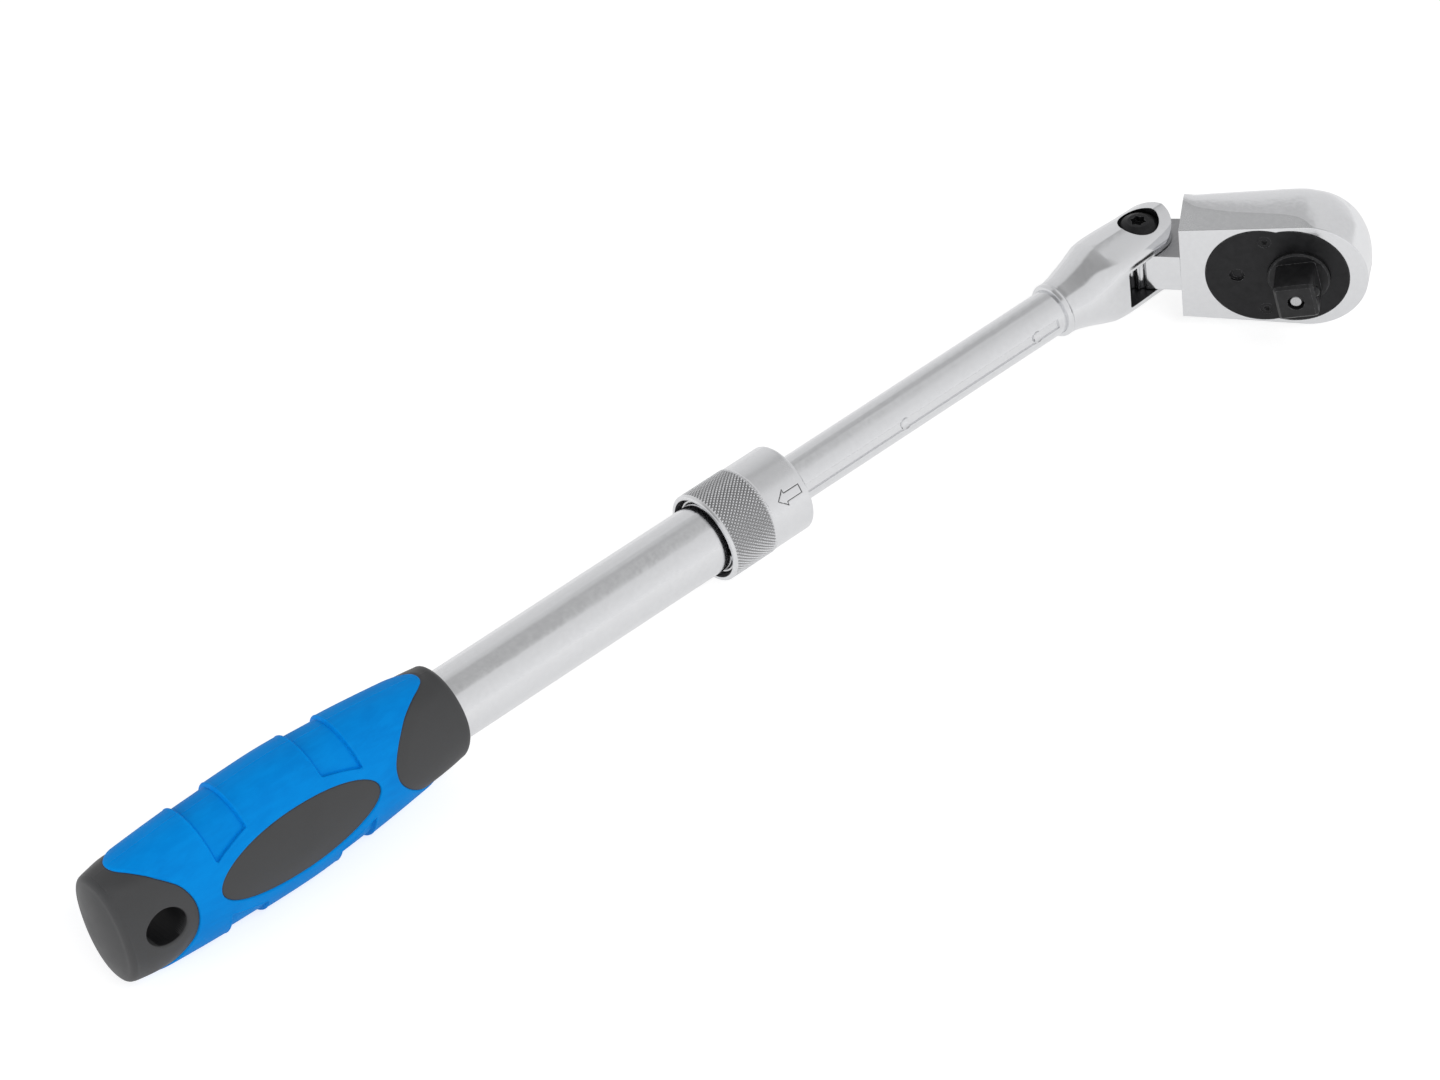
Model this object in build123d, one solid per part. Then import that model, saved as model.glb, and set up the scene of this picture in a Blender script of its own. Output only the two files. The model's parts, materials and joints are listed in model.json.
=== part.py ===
from build123d import *
import math
import os

# Telescopic flex-head ratchet handle, 1/2 inch square drive, in millimetres.
#
# Final frame: +X runs along the handle towards the head, +Z is the flex pivot axis
# on the screw-head side, and -Y is the drive side of a straight head. The origin is
# the centre of the hang hole, on the handle axis.
#
# Each piece is drawn in a working frame: x forward, y along the flex pivot, z towards
# the drive side. Handle pieces start from the hang hole and are placed straight. Head
# pieces start from the drive axis and are placed turned about the flex pivot.

os.makedirs("parts", exist_ok=True)

# --- shared dimensions
PIVOT_X = 394.5          # flex pivot axis
FLEX_DEG = 50.0          # head angle, towards the drive side
HEAD_X = 51.0            # flex pivot to drive axis

CLOSE_FIT = 0.01         # clearance of fixed pieces
BALL_FIT = 0.03          # clearance of balls in their holes
SLIDE_FIT = 0.05         # clearance of moving pieces

flex = math.radians(FLEX_DEG)
HANDLE = Plane(origin=(0, 0, 0), x_dir=(1, 0, 0), z_dir=(0, -1, 0)).location
HEAD = Plane(
    origin=(PIVOT_X + HEAD_X * math.cos(flex), -HEAD_X * math.sin(flex), 0),
    x_dir=(math.cos(flex), -math.sin(flex), 0),
    z_dir=(-math.sin(flex), -math.cos(flex), 0)).location


# ---------------------------------------------------------------------------
# Helpers
# ---------------------------------------------------------------------------
def solids_of(shape):
    return [solid for solid in shape.solids() if solid.volume > 1e-3]


def save(name, shape, place):
    placed = [place * solid for solid in solids_of(shape)]
    part = placed[0] if len(placed) == 1 else Compound(children=placed)
    export_step(part, f"parts/{name}.step")


def across(x, z=0.0):
    """The place of a drawing plane square to x."""
    return Plane(origin=(x, 0, z), x_dir=(0, 1, 0), z_dir=(1, 0, 0)).location


def cyl_on(place, radius, height):
    """A cylinder that stands on the given place."""
    return place * Cylinder(radius, height, align=(Align.CENTER, Align.CENTER, Align.MIN))


def cyl_x(start, end, radius, z=0.0):
    return cyl_on(across(start, z), radius, end - start)


def cyl_y(start, end, radius, x=0.0, z=0.0):
    place = Plane(origin=(x, start, z), x_dir=(1, 0, 0), z_dir=(0, 1, 0)).location
    return cyl_on(place, radius, end - start)


def cyl_z(start, end, radius, x=0.0, y=0.0):
    return cyl_on(Pos(x, y, start), radius, end - start)


def block(x0, x1, y0, y1, z0, z1):
    middle = Pos((x0 + x1) / 2, (y0 + y1) / 2, (z0 + z1) / 2)
    return middle * Box(x1 - x0, y1 - y0, z1 - z0)


def polygon(points):
    return make_face(Polyline(*points, close=True))


def turned_x(points):
    """A solid of revolution about x, from (x, radius) points."""
    return revolve(polygon([(x, radius, 0) for x, radius in points]), Axis.X)


def turned_z(points):
    """A solid of revolution about z, from (radius, z) points."""
    return revolve(polygon([(radius, 0, z) for radius, z in points]), Axis.Z)


def prism(points, z0, z1):
    """An (x, y) outline drawn out along z."""
    return extrude(polygon([(x, y, z0) for x, y in points]), amount=z1 - z0, dir=(0, 0, 1))


def coil(radius, wire, turns, start, end, z_dir):
    """A round-wire spring on an axis along z_dir, its wire centre line starting
    at the height of the point start and running for the distance to end."""
    length = math.dist(start, end)
    path = Helix(pitch=length / turns, height=length, radius=radius)
    profile = Plane(origin=path @ 0, z_dir=path % 0).location * Circle(wire / 2)
    return Plane(origin=start, z_dir=z_dir).location * sweep(profile, path=path)


def coil_x(radius, wire, turns, start, end, z=0.0):
    return coil(radius, wire, turns, (start, 0, z), (end, 0, z), (1, 0, 0))


def turned_about(x, degrees, shape):
    """Turn a shape about the upright line through (x, 0)."""
    return Pos(x, 0, 0) * (Rot(0, 0, degrees) * (Pos(-x, 0, 0) * shape))


# ---------------------------------------------------------------------------
# Grip: a hard core with a soft overmould
# ---------------------------------------------------------------------------
TUBE_START = 16.0        # rear end of the outer tube, inside the grip
TUBE_R, TUBE_IR = 11.3, 9.6

HANG_R = 6.2
GRIP_TURN = 5.5          # turn of the grip about the handle, degrees
PANEL_DEPTH = 1.0        # recessed panels over the grip's narrow sides
SKIN = 2.0               # overmould thickness
OVAL_POWER = 2.2         # 2 is an ellipse, more is squarer
OVAL_POINTS = 32
CUT = 30                 # half height of cutters through the grip

# x, half width along y, half depth along z
GRIP_SECTIONS = [
    (-12.2, 18.5, 12.4), (-6.0, 20.0, 13.4), (6.0, 21.1, 14.1), (25.0, 22.1, 14.8),
    (48.0, 22.6, 15.1), (72.0, 21.2, 14.2), (92.0, 18.8, 13.2), (104.0, 16.8, 12.6)]
GRIP_REAR_RIM = [(-13.5, 17.0, 11.0), (-13.1, 17.9, 11.9), GRIP_SECTIONS[0]]
GRIP_FRONT_RIM = [
    GRIP_SECTIONS[-1], (108.0, 15.6, 12.35), (109.8, 14.2, 12.2), (110.5, 13.2, 12.0)]

# Where the core reaches the surface: x, y on the +y side
REAR_ZONE = [
    (-20, 30), (-6.6, 30), (-6.4, 20.3), (-3.5, 19.3), (0.1, 16.8),
    (2.2, 14.8), (4.9, 12.6), (7.9, 9.4), (9.2, 6.5), (10.0, 3.2)]
FRONT_ZONE = [
    (120, 30), (105, 30), (104, 17.4), (98, 16.6), (95, 15.5),
    (91.3, 13.4), (87.3, 9.9), (84.4, 6.0), (83.3, 3.0)]
PAD_X, PAD_HALF_X, PAD_HALF_Y = 47.5, 28.8, 11.4

# Recessed panels on the +y side: x, y
REAR_PANEL = [(19.0, 30), (20.2, 9.6), (26.5, 12.2), (32.8, 14.2), (31.8, 30)]
FRONT_PANEL = [(59.0, 30), (60.0, 14.1), (66.5, 12.0), (72.9, 9.3), (70.9, 30)]


def oval(x, half_y, half_z):
    """A rounded, slightly squared oval across the handle axis."""
    points = []
    for i in range(OVAL_POINTS):
        angle = 2 * math.pi * i / OVAL_POINTS
        cos, sin = math.cos(angle), math.sin(angle)
        reach = (abs(cos) ** OVAL_POWER + abs(sin) ** OVAL_POWER) ** (-1 / OVAL_POWER)
        points.append((x, half_y * reach * cos, half_z * reach * sin))
    return make_face(Spline(*points, periodic=True))


def grip_form(inset):
    """The outer form of the grip, with every section made smaller by the inset."""
    def ovals(stations):
        return [oval(x, half_y - inset, half_z - inset) for x, half_y, half_z in stations]

    middle = loft(ovals(GRIP_SECTIONS))
    rear = loft(ovals(GRIP_REAR_RIM), ruled=True)
    front = loft(ovals(GRIP_FRONT_RIM), ruled=True)
    return middle + rear + front


def zone(half_outline):
    """A prism through the grip, from one half of a symmetric outline."""
    other_half = [(x, -y) for x, y in reversed(half_outline)]
    return prism(half_outline + other_half, -CUT, CUT)


def make_grip():
    """The core and the sleeve."""
    outer = grip_form(0.0)
    inner = grip_form(SKIN)
    panel_floor = grip_form(PANEL_DEPTH)
    pad = Pos(PAD_X, 0, -CUT) * extrude(Ellipse(PAD_HALF_X, PAD_HALF_Y), amount=2 * CUT)
    zones = zone(REAR_ZONE) + zone(FRONT_ZONE) + pad
    panels = prism(REAR_PANEL, -CUT, CUT) + prism(FRONT_PANEL, -CUT, CUT)
    panels = panels + mirror(panels, about=Plane.XZ)
    tube_hole = cyl_x(TUBE_START, 130, TUBE_R + CLOSE_FIT)
    hang_hole = cyl_z(-CUT, CUT, HANG_R)
    core = (inner + (outer & zones)) - tube_hole - hang_hole
    sleeve = (outer - inner) - zones - tube_hole - hang_hole
    sleeve = sleeve - ((outer - panel_floor) & panels)
    turn = Rot(-GRIP_TURN, 0, 0)
    return turn * core, turn * sleeve


grip_core, grip_sleeve = make_grip()
save("grip_core", grip_core, HANDLE)
save("grip_sleeve", grip_sleeve, HANDLE)

# ---------------------------------------------------------------------------
# Outer tube, lock nose, locking ball and collar
# ---------------------------------------------------------------------------
TUBE_END = 219.0         # where the outer tube meets the lock nose
PLUG_LENGTH, PLUG_FLOOR, PLUG_BORE = 8, 2, 5.0

RING_X = 213.9           # wire ring that the collar spring leans on
RING_R, RING_WIRE_R = 11.75, 0.70
RING_GROOVE_R = 0.72

SHAFT_R = 7.55
NOSE_R = 10.9
NOSE_BACK, NOSE_FRONT = 205.0, 241.4
NOSE_CHAMFER = 0.8

BALL_R = 2.5
BALL_X = 234.6
BALL_LIFTED = 9.45       # ball centre to axis, lifted
BALL_DROP = 0.8          # radial travel of the ball into a dimple
GROOVE_ANGLE = 80.0      # shaft groove direction, from +y towards +z
GROOVE_Y = math.cos(math.radians(GROOVE_ANGLE))
GROOVE_Z = math.sin(math.radians(GROOVE_ANGLE))

COLLAR_REAR, COLLAR_FRONT = 211.0, 243.2
KNURL_END = 228.0        # front end of the collar's widest band
COLLAR_R = 14.7
COLLAR_FRONT_R = COLLAR_R - 0.25
COLLAR_BORE = 10.95
SPRING_BORE = 12.75      # wider rear bore round the spring
COLLAR_STEP = 227.0      # step between the two bores
COLLAR_TRAVEL = 4.0      # forward travel that locks the ball
RAMP_SLOPE = BALL_DROP / COLLAR_TRAVEL
RAMP_AT_BALL = BALL_LIFTED + BALL_R / math.cos(math.atan(RAMP_SLOPE)) + 0.04
RAMP_REAR = BALL_X - (RAMP_AT_BALL - COLLAR_BORE) / RAMP_SLOPE
RAMP_FRONT = BALL_X + 3.0


def along_groove(x, radius):
    """A point at the given distance from the axis, in the groove direction."""
    return (x, GROOVE_Y * radius, GROOVE_Z * radius)


def make_lock_nose():
    nose = turned_x([
        (NOSE_BACK, SHAFT_R + SLIDE_FIT),
        (NOSE_BACK, TUBE_IR - CLOSE_FIT),
        (TUBE_END + CLOSE_FIT, TUBE_IR - CLOSE_FIT),
        (TUBE_END + CLOSE_FIT, NOSE_R),
        (NOSE_FRONT - NOSE_CHAMFER, NOSE_R),
        (NOSE_FRONT, NOSE_R - NOSE_CHAMFER),
        (NOSE_FRONT, SHAFT_R + SLIDE_FIT)])
    hole = Plane(origin=along_groove(BALL_X, 6.0), x_dir=(1, 0, 0),
                 z_dir=(0, GROOVE_Y, GROOVE_Z)).location
    return nose - cyl_on(hole, BALL_R + BALL_FIT, 8)


def make_lock_collar():
    """The ramp in the bore opens towards the front."""
    return turned_x([
        (COLLAR_REAR, 13.35),
        (COLLAR_REAR, COLLAR_R - 0.7),
        (COLLAR_REAR + 0.9, COLLAR_R),
        (KNURL_END, COLLAR_R),
        (KNURL_END + 0.3, COLLAR_FRONT_R),
        (COLLAR_FRONT - 1.2, COLLAR_FRONT_R),
        (COLLAR_FRONT - 0.35, COLLAR_R - 0.6),
        (COLLAR_FRONT, COLLAR_R - 1.4),
        (COLLAR_FRONT, COLLAR_BORE + 0.6),
        (COLLAR_FRONT - 0.6, COLLAR_BORE),
        (RAMP_FRONT, COLLAR_BORE),
        (RAMP_FRONT, RAMP_AT_BALL + RAMP_SLOPE * (RAMP_FRONT - BALL_X)),
        (RAMP_REAR, COLLAR_BORE),
        (COLLAR_STEP, COLLAR_BORE),
        (COLLAR_STEP, SPRING_BORE),
        (COLLAR_REAR + 0.7, SPRING_BORE)])


tube = cyl_x(TUBE_START, TUBE_END, TUBE_R) - cyl_x(TUBE_START, TUBE_END, TUBE_IR)
tube = tube - across(RING_X) * Torus(RING_R, RING_GROOVE_R)
save("handle_tube", tube, HANDLE)

# The ring is open on its -y side
ring = across(RING_X) * Torus(RING_R, RING_WIRE_R)
ring = ring - block(RING_X - 2, RING_X + 2, -14, -9, -1.6, 1.6)
save("spring_ring", ring, HANDLE)

save("tube_plug", turned_x([
    (TUBE_START, 0),
    (TUBE_START, TUBE_IR - CLOSE_FIT),
    (TUBE_START + PLUG_LENGTH, TUBE_IR - CLOSE_FIT),
    (TUBE_START + PLUG_LENGTH, PLUG_BORE),
    (TUBE_START + PLUG_FLOOR, PLUG_BORE),
    (TUBE_START + PLUG_FLOOR, 0)]), HANDLE)
save("lock_nose", make_lock_nose(), HANDLE)
save("lock_ball", Pos(*along_groove(BALL_X, BALL_LIFTED)) * Sphere(BALL_R), HANDLE)
save("lock_collar", make_lock_collar(), HANDLE)
save("collar_spring", coil_x(
    radius=12.05, wire=0.8, turns=4.0,
    start=RING_X + 0.75 + 0.45, end=COLLAR_STEP - 0.55), HANDLE)

# ---------------------------------------------------------------------------
# Inner shaft with guide groove and dimples, and its tail bush
# ---------------------------------------------------------------------------
SHAFT_TAIL = 188.0
SHAFT_CHAMFER = 0.8
FERRULE = 355.3          # rear lip of the fork socket
FERRULE_LENGTH = 3.2
SOCKET_END = 369.0       # front end of the shaft, in the fork socket
DIMPLES = [BALL_X, 287.2, 343.0]
GROOVE_FLOOR = 6.9       # from the axis
GROOVE_HALF = 1.6        # half width


def make_inner_shaft():
    shaft = turned_x([
        (SHAFT_TAIL, 0),
        (SHAFT_TAIL, SHAFT_R - SHAFT_CHAMFER),
        (SHAFT_TAIL + SHAFT_CHAMFER, SHAFT_R),
        (SOCKET_END - SHAFT_CHAMFER, SHAFT_R),
        (SOCKET_END, SHAFT_R - SHAFT_CHAMFER),
        (SOCKET_END, 0)])
    groove_frame = Plane(origin=(0, 0, 0), x_dir=(1, 0, 0),
                         z_dir=(0, GROOVE_Y, GROOVE_Z)).location
    shaft = shaft - groove_frame * block(
        SHAFT_TAIL + 18, FERRULE - 3.2, -GROOVE_HALF, GROOVE_HALF, GROOVE_FLOOR, 12)
    for x in DIMPLES:
        centre = along_groove(x, BALL_LIFTED - BALL_DROP)
        shaft = shaft - Pos(*centre) * Sphere(BALL_R + SLIDE_FIT)
    return shaft


save("inner_shaft", make_inner_shaft(), HANDLE)
save("tail_bush", turned_x([
    (SHAFT_TAIL + 4, SHAFT_R + CLOSE_FIT),
    (SHAFT_TAIL + 4, TUBE_IR - SLIDE_FIT),
    (NOSE_BACK - 0.1, TUBE_IR - SLIDE_FIT),
    (NOSE_BACK - 0.1, SHAFT_R + CLOSE_FIT)]), HANDLE)

# ---------------------------------------------------------------------------
# Fork, flex pivot and detent
# ---------------------------------------------------------------------------
FORK_HALF_Y, FORK_HALF_Z, FORK_CORNER = 14.0, 11.4, 8.4
CHEEK_LENGTH = 17.5      # start of the full fork section to the pivot axis
EAR_R = 10.4
SLOT_HALF = 6.95
SLOT_BACK = 15.4         # slot floor, behind the pivot axis
SCREW_R, SCREW_HEAD_R = 4.0, 6.3
CBORE_R = 6.6
SEAT_Y = FORK_HALF_Y - 3.6       # underside of the screw head
SCREW_TOP = SEAT_Y + 2.9
SCREW_END = -FORK_HALF_Y + 0.4
STAR_R, STAR_VALLEY_R = 2.75, 1.95
WASHER_R, WASHER_GAP = 8.0, 0.03
TANG_HALF = 6.6
TANG_R = 9.9             # rounded end of the tang about the pivot
PLUNGER_R, PLUNGER_STEM_R = 2.3, 1.2
PLUNGER_TIP = PIVOT_X - TANG_R - 0.03
PLUNGER_STEP = PLUNGER_TIP - 7.6
DETENT_BORE_BACK = SOCKET_END + 1.0

# x, half y, half z, corner radius
NECK_SECTIONS = [
    (FERRULE + 3.0, 9.15, 9.15, 9.1),
    (FERRULE + 6.0, 10.0, 9.7, 9.0),
    (PIVOT_X - 27.0, 11.9, 10.6, 8.8),
    (PIVOT_X - 21.0, 13.7, 11.3, 8.6),
    (PIVOT_X - CHEEK_LENGTH, FORK_HALF_Y, FORK_HALF_Z, FORK_CORNER)]


def make_fork():
    socket_ring = turned_x([
        (FERRULE, SHAFT_R + CLOSE_FIT),
        (FERRULE, 8.15),
        (FERRULE + 0.35, 8.6),
        (FERRULE + 1.8, 8.85),
        (FERRULE + FERRULE_LENGTH, 9.0),
        (FERRULE + FERRULE_LENGTH, SHAFT_R + CLOSE_FIT)])
    neck = loft([across(x) * RectangleRounded(2 * half_y, 2 * half_z, corner)
                 for x, half_y, half_z, corner in NECK_SECTIONS], ruled=True)
    cheek_face = RectangleRounded(2 * FORK_HALF_Y, 2 * FORK_HALF_Z, FORK_CORNER)
    cheeks = across(PIVOT_X - CHEEK_LENGTH) * extrude(cheek_face, amount=CHEEK_LENGTH + EAR_R)
    ear_trim = block(PIVOT_X - CHEEK_LENGTH - 0.1, PIVOT_X, -20, 20, -20, 20)
    ear_trim = ear_trim + cyl_y(-20, 20, EAR_R, x=PIVOT_X)
    cheeks = cheeks & ear_trim
    fork = socket_ring + neck + cheeks
    # shaft socket, tang slot, screw hole, head counterbore, plunger bore
    fork = fork - cyl_x(FERRULE - 1, SOCKET_END + 0.1, SHAFT_R + CLOSE_FIT)
    fork = fork - block(PIVOT_X - SLOT_BACK, PIVOT_X + 30, -SLOT_HALF, SLOT_HALF, -20, 20)
    fork = fork - cyl_y(-FORK_HALF_Y - 1, FORK_HALF_Y + 1, SCREW_R + 0.02, x=PIVOT_X)
    fork = fork - cyl_y(SEAT_Y, FORK_HALF_Y + 1, CBORE_R, x=PIVOT_X)
    return fork - cyl_x(DETENT_BORE_BACK, PIVOT_X - SLOT_BACK + 1, PLUNGER_R + SLIDE_FIT)


def make_pivot_screw():
    """Shank along y, with a six-pointed recess in the head."""
    upright = turned_z([
        (0, SCREW_END),
        (SCREW_R - 0.6, SCREW_END),
        (SCREW_R, SCREW_END + 0.6),
        (SCREW_R, SEAT_Y),
        (SCREW_HEAD_R, SEAT_Y),
        (SCREW_HEAD_R, SEAT_Y + 1.1),
        (SCREW_HEAD_R - 1.3, SEAT_Y + 2.2),
        (SCREW_HEAD_R - 2.9, SCREW_TOP),
        (0, SCREW_TOP)])
    along_y = Plane(origin=(0, 0, 0), x_dir=(1, 0, 0), z_dir=(0, 1, 0)).location
    screw = Pos(PIVOT_X, 0, 0) * (along_y * upright)
    star = []
    for i in range(12):
        angle = math.radians(30 * i)
        radius = STAR_R if i % 2 == 0 else STAR_VALLEY_R
        star.append((PIVOT_X + radius * math.cos(angle), SCREW_TOP + 0.1,
                     radius * math.sin(angle)))
    return screw - extrude(polygon(star), amount=2.2, dir=(0, -1, 0))


def make_washers():
    near, far = TANG_HALF + WASHER_GAP, SLOT_HALF - WASHER_GAP
    hole = cyl_y(-20, 20, SCREW_R + SLIDE_FIT, x=PIVOT_X)
    return Compound(children=[
        cyl_y(start, end, WASHER_R, x=PIVOT_X) - hole
        for start, end in ((near, far), (-far, -near))])


save("flex_fork", make_fork(), HANDLE)
save("pivot_screw", make_pivot_screw(), HANDLE)
save("pivot_washers", make_washers(), HANDLE)

# Sprung plunger for the notches of the tang, lifted to their crests
save("detent_plunger", turned_x([
    (PLUNGER_TIP - 11.0, 0),
    (PLUNGER_TIP - 11.0, PLUNGER_STEM_R),
    (PLUNGER_STEP, PLUNGER_STEM_R),
    (PLUNGER_STEP, PLUNGER_R),
    (PLUNGER_TIP - 1.5, PLUNGER_R),
    (PLUNGER_TIP - 0.85, 1.3),
    (PLUNGER_TIP - 0.45, 0.85),
    (PLUNGER_TIP, 0.3),
    (PLUNGER_TIP, 0)]), HANDLE)
save("detent_spring", coil_x(
    radius=1.78, wire=0.55, turns=6.0,
    start=DETENT_BORE_BACK + 0.4, end=PLUNGER_STEP - 0.4), HANDLE)

# ---------------------------------------------------------------------------
# Head housing
# ---------------------------------------------------------------------------
FACE_Z = 9.9             # drive-side face
TAIL_X = -37.2           # tail shoulder
TAIL_HALF = 17.3
ROUND_X, ROUND_R = 2.2, 19.5         # rounded nose of the outline
BACK_TAIL, BACK_NOSE = -12.3, -15.8  # z of the back face at tail and nose
NOTCH_STEP = 50.0 / 3.0  # degrees between the tang notches
NOTCHES_PER_SIDE = 6
NOTCH_R, NOTCH_DEPTH = 1.25, 0.85
PLATE_R, PLATE_T = 17.7, 2.2
PLATE_LOBES = (-2.0, -11.6)          # x of the centres of the two lobes
PLATE_Z = FACE_Z - PLATE_T
GEAR_TEETH = 36
GEAR_TIP, GEAR_ROOT = 13.5, 12.45
GEAR_LOW, GEAR_HIGH = -3.4, 7.55
CAVITY_LOW = GEAR_LOW - 0.15
JOURNAL_R, JOURNAL_LOW = 8.0, -10.0
BUTTON_R = 5.2
PAWL_X = -19.5
PIN_R, PIN_LOW = 1.5, -7.0
LEVER_X = -29.5
LEVER_R, LEVER_TOP = 3.5, 3.4
PAWL_CAVITY = [          # x, y
    (-7, -11.0), (-15.5, -11.0), (-25.0, -6.0), (-25.0, 6.0), (-15.5, 11.0), (-7, 11.0)]
SIDE_PROFILE = [         # x, z
    (TAIL_X - 1, BACK_TAIL), (-6, BACK_NOSE), (14, BACK_NOSE + 0.6),
    (30, BACK_NOSE + 6.0), (30, FACE_Z)]


def head_outline():
    """Straight sides from the tail shoulder, tangent to the rounded nose."""
    from_x = TAIL_X - ROUND_X
    distance = math.hypot(from_x, TAIL_HALF)
    angle = math.atan2(TAIL_HALF, from_x) - math.acos(ROUND_R / distance)
    touch_x = ROUND_X + ROUND_R * math.cos(angle)
    touch_y = ROUND_R * math.sin(angle)
    return make_face(Wire([
        Line((TAIL_X, -TAIL_HALF), (TAIL_X, TAIL_HALF)),
        Line((TAIL_X, TAIL_HALF), (touch_x, touch_y)),
        ThreePointArc((touch_x, touch_y), (ROUND_X + ROUND_R, 0), (touch_x, -touch_y)),
        Line((touch_x, -touch_y), (TAIL_X, -TAIL_HALF))]))


def is_back_edge(edge):
    """Back outline edges: not the tail's, nor those that cross the middle of the back."""
    middle = edge.center()
    return (middle.Z < -6
            and edge.bounding_box().max.Z < FACE_Z - 1
            and middle.X > TAIL_X + 0.5
            and abs(middle.Y) > 0.0
            and not (abs(middle.Y) < 0.01 and middle.X < 20))


def largest_fillet(shape, edges, radii):
    for radius in radii:
        # Guards against a radius too large for the edges; the next one is smaller
        try:
            rounded = fillet(edges, radius)
            if rounded.is_valid and rounded.volume > 1:
                return rounded
        except Exception:
            pass
    return shape


def lobed(z0, z1, radius):
    """The two overlapping discs of the cover plate."""
    near, far = PLATE_LOBES
    return cyl_z(z0, z1, radius, x=near) + cyl_z(z0, z1, radius, x=far)


def make_housing():
    body = Pos(0, 0, -20) * extrude(head_outline(), amount=20 + FACE_Z)
    side = polygon([(TAIL_X - 1, -30, FACE_Z)] + [(x, -30, z) for x, z in SIDE_PROFILE])
    body = body & extrude(side, amount=60, dir=(0, 1, 0))
    back_edges = [edge for edge in body.edges() if is_back_edge(edge)]
    body = largest_fillet(body, back_edges, [6.5, 5.5, 5.0, 4.0, 3.0])

    tang = block(-HEAD_X, TAIL_X + 3, -TANG_HALF, TANG_HALF, -TANG_R, TANG_R)
    tang = tang + cyl_y(-TANG_HALF, TANG_HALF, TANG_R, x=-HEAD_X)
    body = body + tang
    body = body - cyl_y(-20, 20, SCREW_R + SLIDE_FIT, x=-HEAD_X)
    # One notch faces the plunger at each step of flex
    reach = TANG_R + NOTCH_R - NOTCH_DEPTH
    for i in range(-NOTCHES_PER_SIDE, NOTCHES_PER_SIDE + 1):
        angle = math.radians(180 + i * NOTCH_STEP)
        body = body - cyl_y(-TANG_HALF - 1, TANG_HALF + 1, NOTCH_R,
                            x=-HEAD_X + reach * math.cos(angle), z=reach * math.sin(angle))

    # cover plate recess, gear and pawl cavities, lever plunger bay
    body = body - lobed(PLATE_Z, FACE_Z + 1, PLATE_R + SLIDE_FIT)
    body = body - cyl_z(CAVITY_LOW, PLATE_Z + 0.1, GEAR_TIP + 0.2)
    body = body - prism(PAWL_CAVITY, CAVITY_LOW, PLATE_Z + 0.1)
    body = body - block(-28.5, -24.5, -3.6, 3.6, -2.2, 3.2)
    # gear journal, release button, lever stem, pawl pin
    body = body - cyl_z(JOURNAL_LOW - 0.15, CAVITY_LOW + 0.1, JOURNAL_R + SLIDE_FIT)
    body = body - cyl_z(-30, JOURNAL_LOW, BUTTON_R + 0.35)
    body = body - cyl_z(-30, LEVER_TOP + 0.1, LEVER_R + SLIDE_FIT, x=LEVER_X)
    body = body - cyl_z(PIN_LOW, PLATE_Z + 0.1, PIN_R + CLOSE_FIT, x=PAWL_X)
    # flat seat on the back for the reverse lever
    return body - cyl_z(-30, BACK_TAIL - 0.35, 8.2, x=LEVER_X)


save("head_housing", make_housing(), HEAD)

# ---------------------------------------------------------------------------
# Cover plate, its two screws, and the pawl pin
# ---------------------------------------------------------------------------
BOSS_R, BOSS_Z = 9.85, 11.5
COVER_SCREWS = [(-10.5, 13.3), (-10.5, -13.3)]
COVER_SHANK_R, COVER_HEAD_R = 1.6, 2.1
COVER_SCREW_GAP = 0.02
COVER_SEAT_Z = FACE_Z - 1.1
HEX_R = 1.05


def make_cover_plate():
    plate = lobed(PLATE_Z + 0.02, FACE_Z, PLATE_R)
    plate = plate - cyl_z(0, 30, BOSS_R + 0.06)
    # pin hole, wider towards the drive side
    plate = plate - cyl_z(PLATE_Z - 0.1, PLATE_Z + 1.4, PIN_R + CLOSE_FIT, x=PAWL_X)
    plate = plate - cyl_z(PLATE_Z + 1.3, 30, 2.4, x=PAWL_X)
    for x, y in COVER_SCREWS:
        plate = plate - cyl_z(0, 30, COVER_SHANK_R + COVER_SCREW_GAP, x, y)
        plate = plate - cyl_z(COVER_SEAT_Z, 30, COVER_HEAD_R + COVER_SCREW_GAP, x, y)
    return plate


def make_cover_screw(x, y):
    screw = cyl_z(PLATE_Z + 0.05, FACE_Z - 0.9, COVER_SHANK_R, x, y)
    screw = screw + cyl_z(COVER_SEAT_Z + 0.01, FACE_Z - 0.1, COVER_HEAD_R, x, y)
    hex_face = Plane(origin=(0, 0, FACE_Z - 0.7)).location * RegularPolygon(HEX_R, 6)
    return screw - Pos(x, y, 0) * extrude(hex_face, amount=2)


save("cover_plate", make_cover_plate(), HEAD)
save("cover_screws", Compound(children=[make_cover_screw(x, y) for x, y in COVER_SCREWS]), HEAD)
save("pawl_pin", cyl_z(PIN_LOW + 0.1, PLATE_Z + 1.25, PIN_R, x=PAWL_X), HEAD)

# ---------------------------------------------------------------------------
# Drive gear with its square, and the socket ball
# ---------------------------------------------------------------------------
SQUARE = 12.7            # 1/2 inch square drive
SQUARE_TURN = 9.2        # turn of the square from the head's axis, degrees
POST_END = 23.25         # tip of the square
ROD_BORE, ROD_BORE_END = 3.2, POST_END - 1.9
CHAMBER_R, CHAMBER_TOP = 6.2, 1.0    # release spring chamber
SOCKET_BALL_R, SOCKET_BALL_Z = 2.0, 18.3
BALL_OUT = SQUARE / 2 + 0.9 - SOCKET_BALL_R      # ball centre to axis
SQUARE_X = math.cos(math.radians(SQUARE_TURN))
SQUARE_Y = math.sin(math.radians(SQUARE_TURN))


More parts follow.
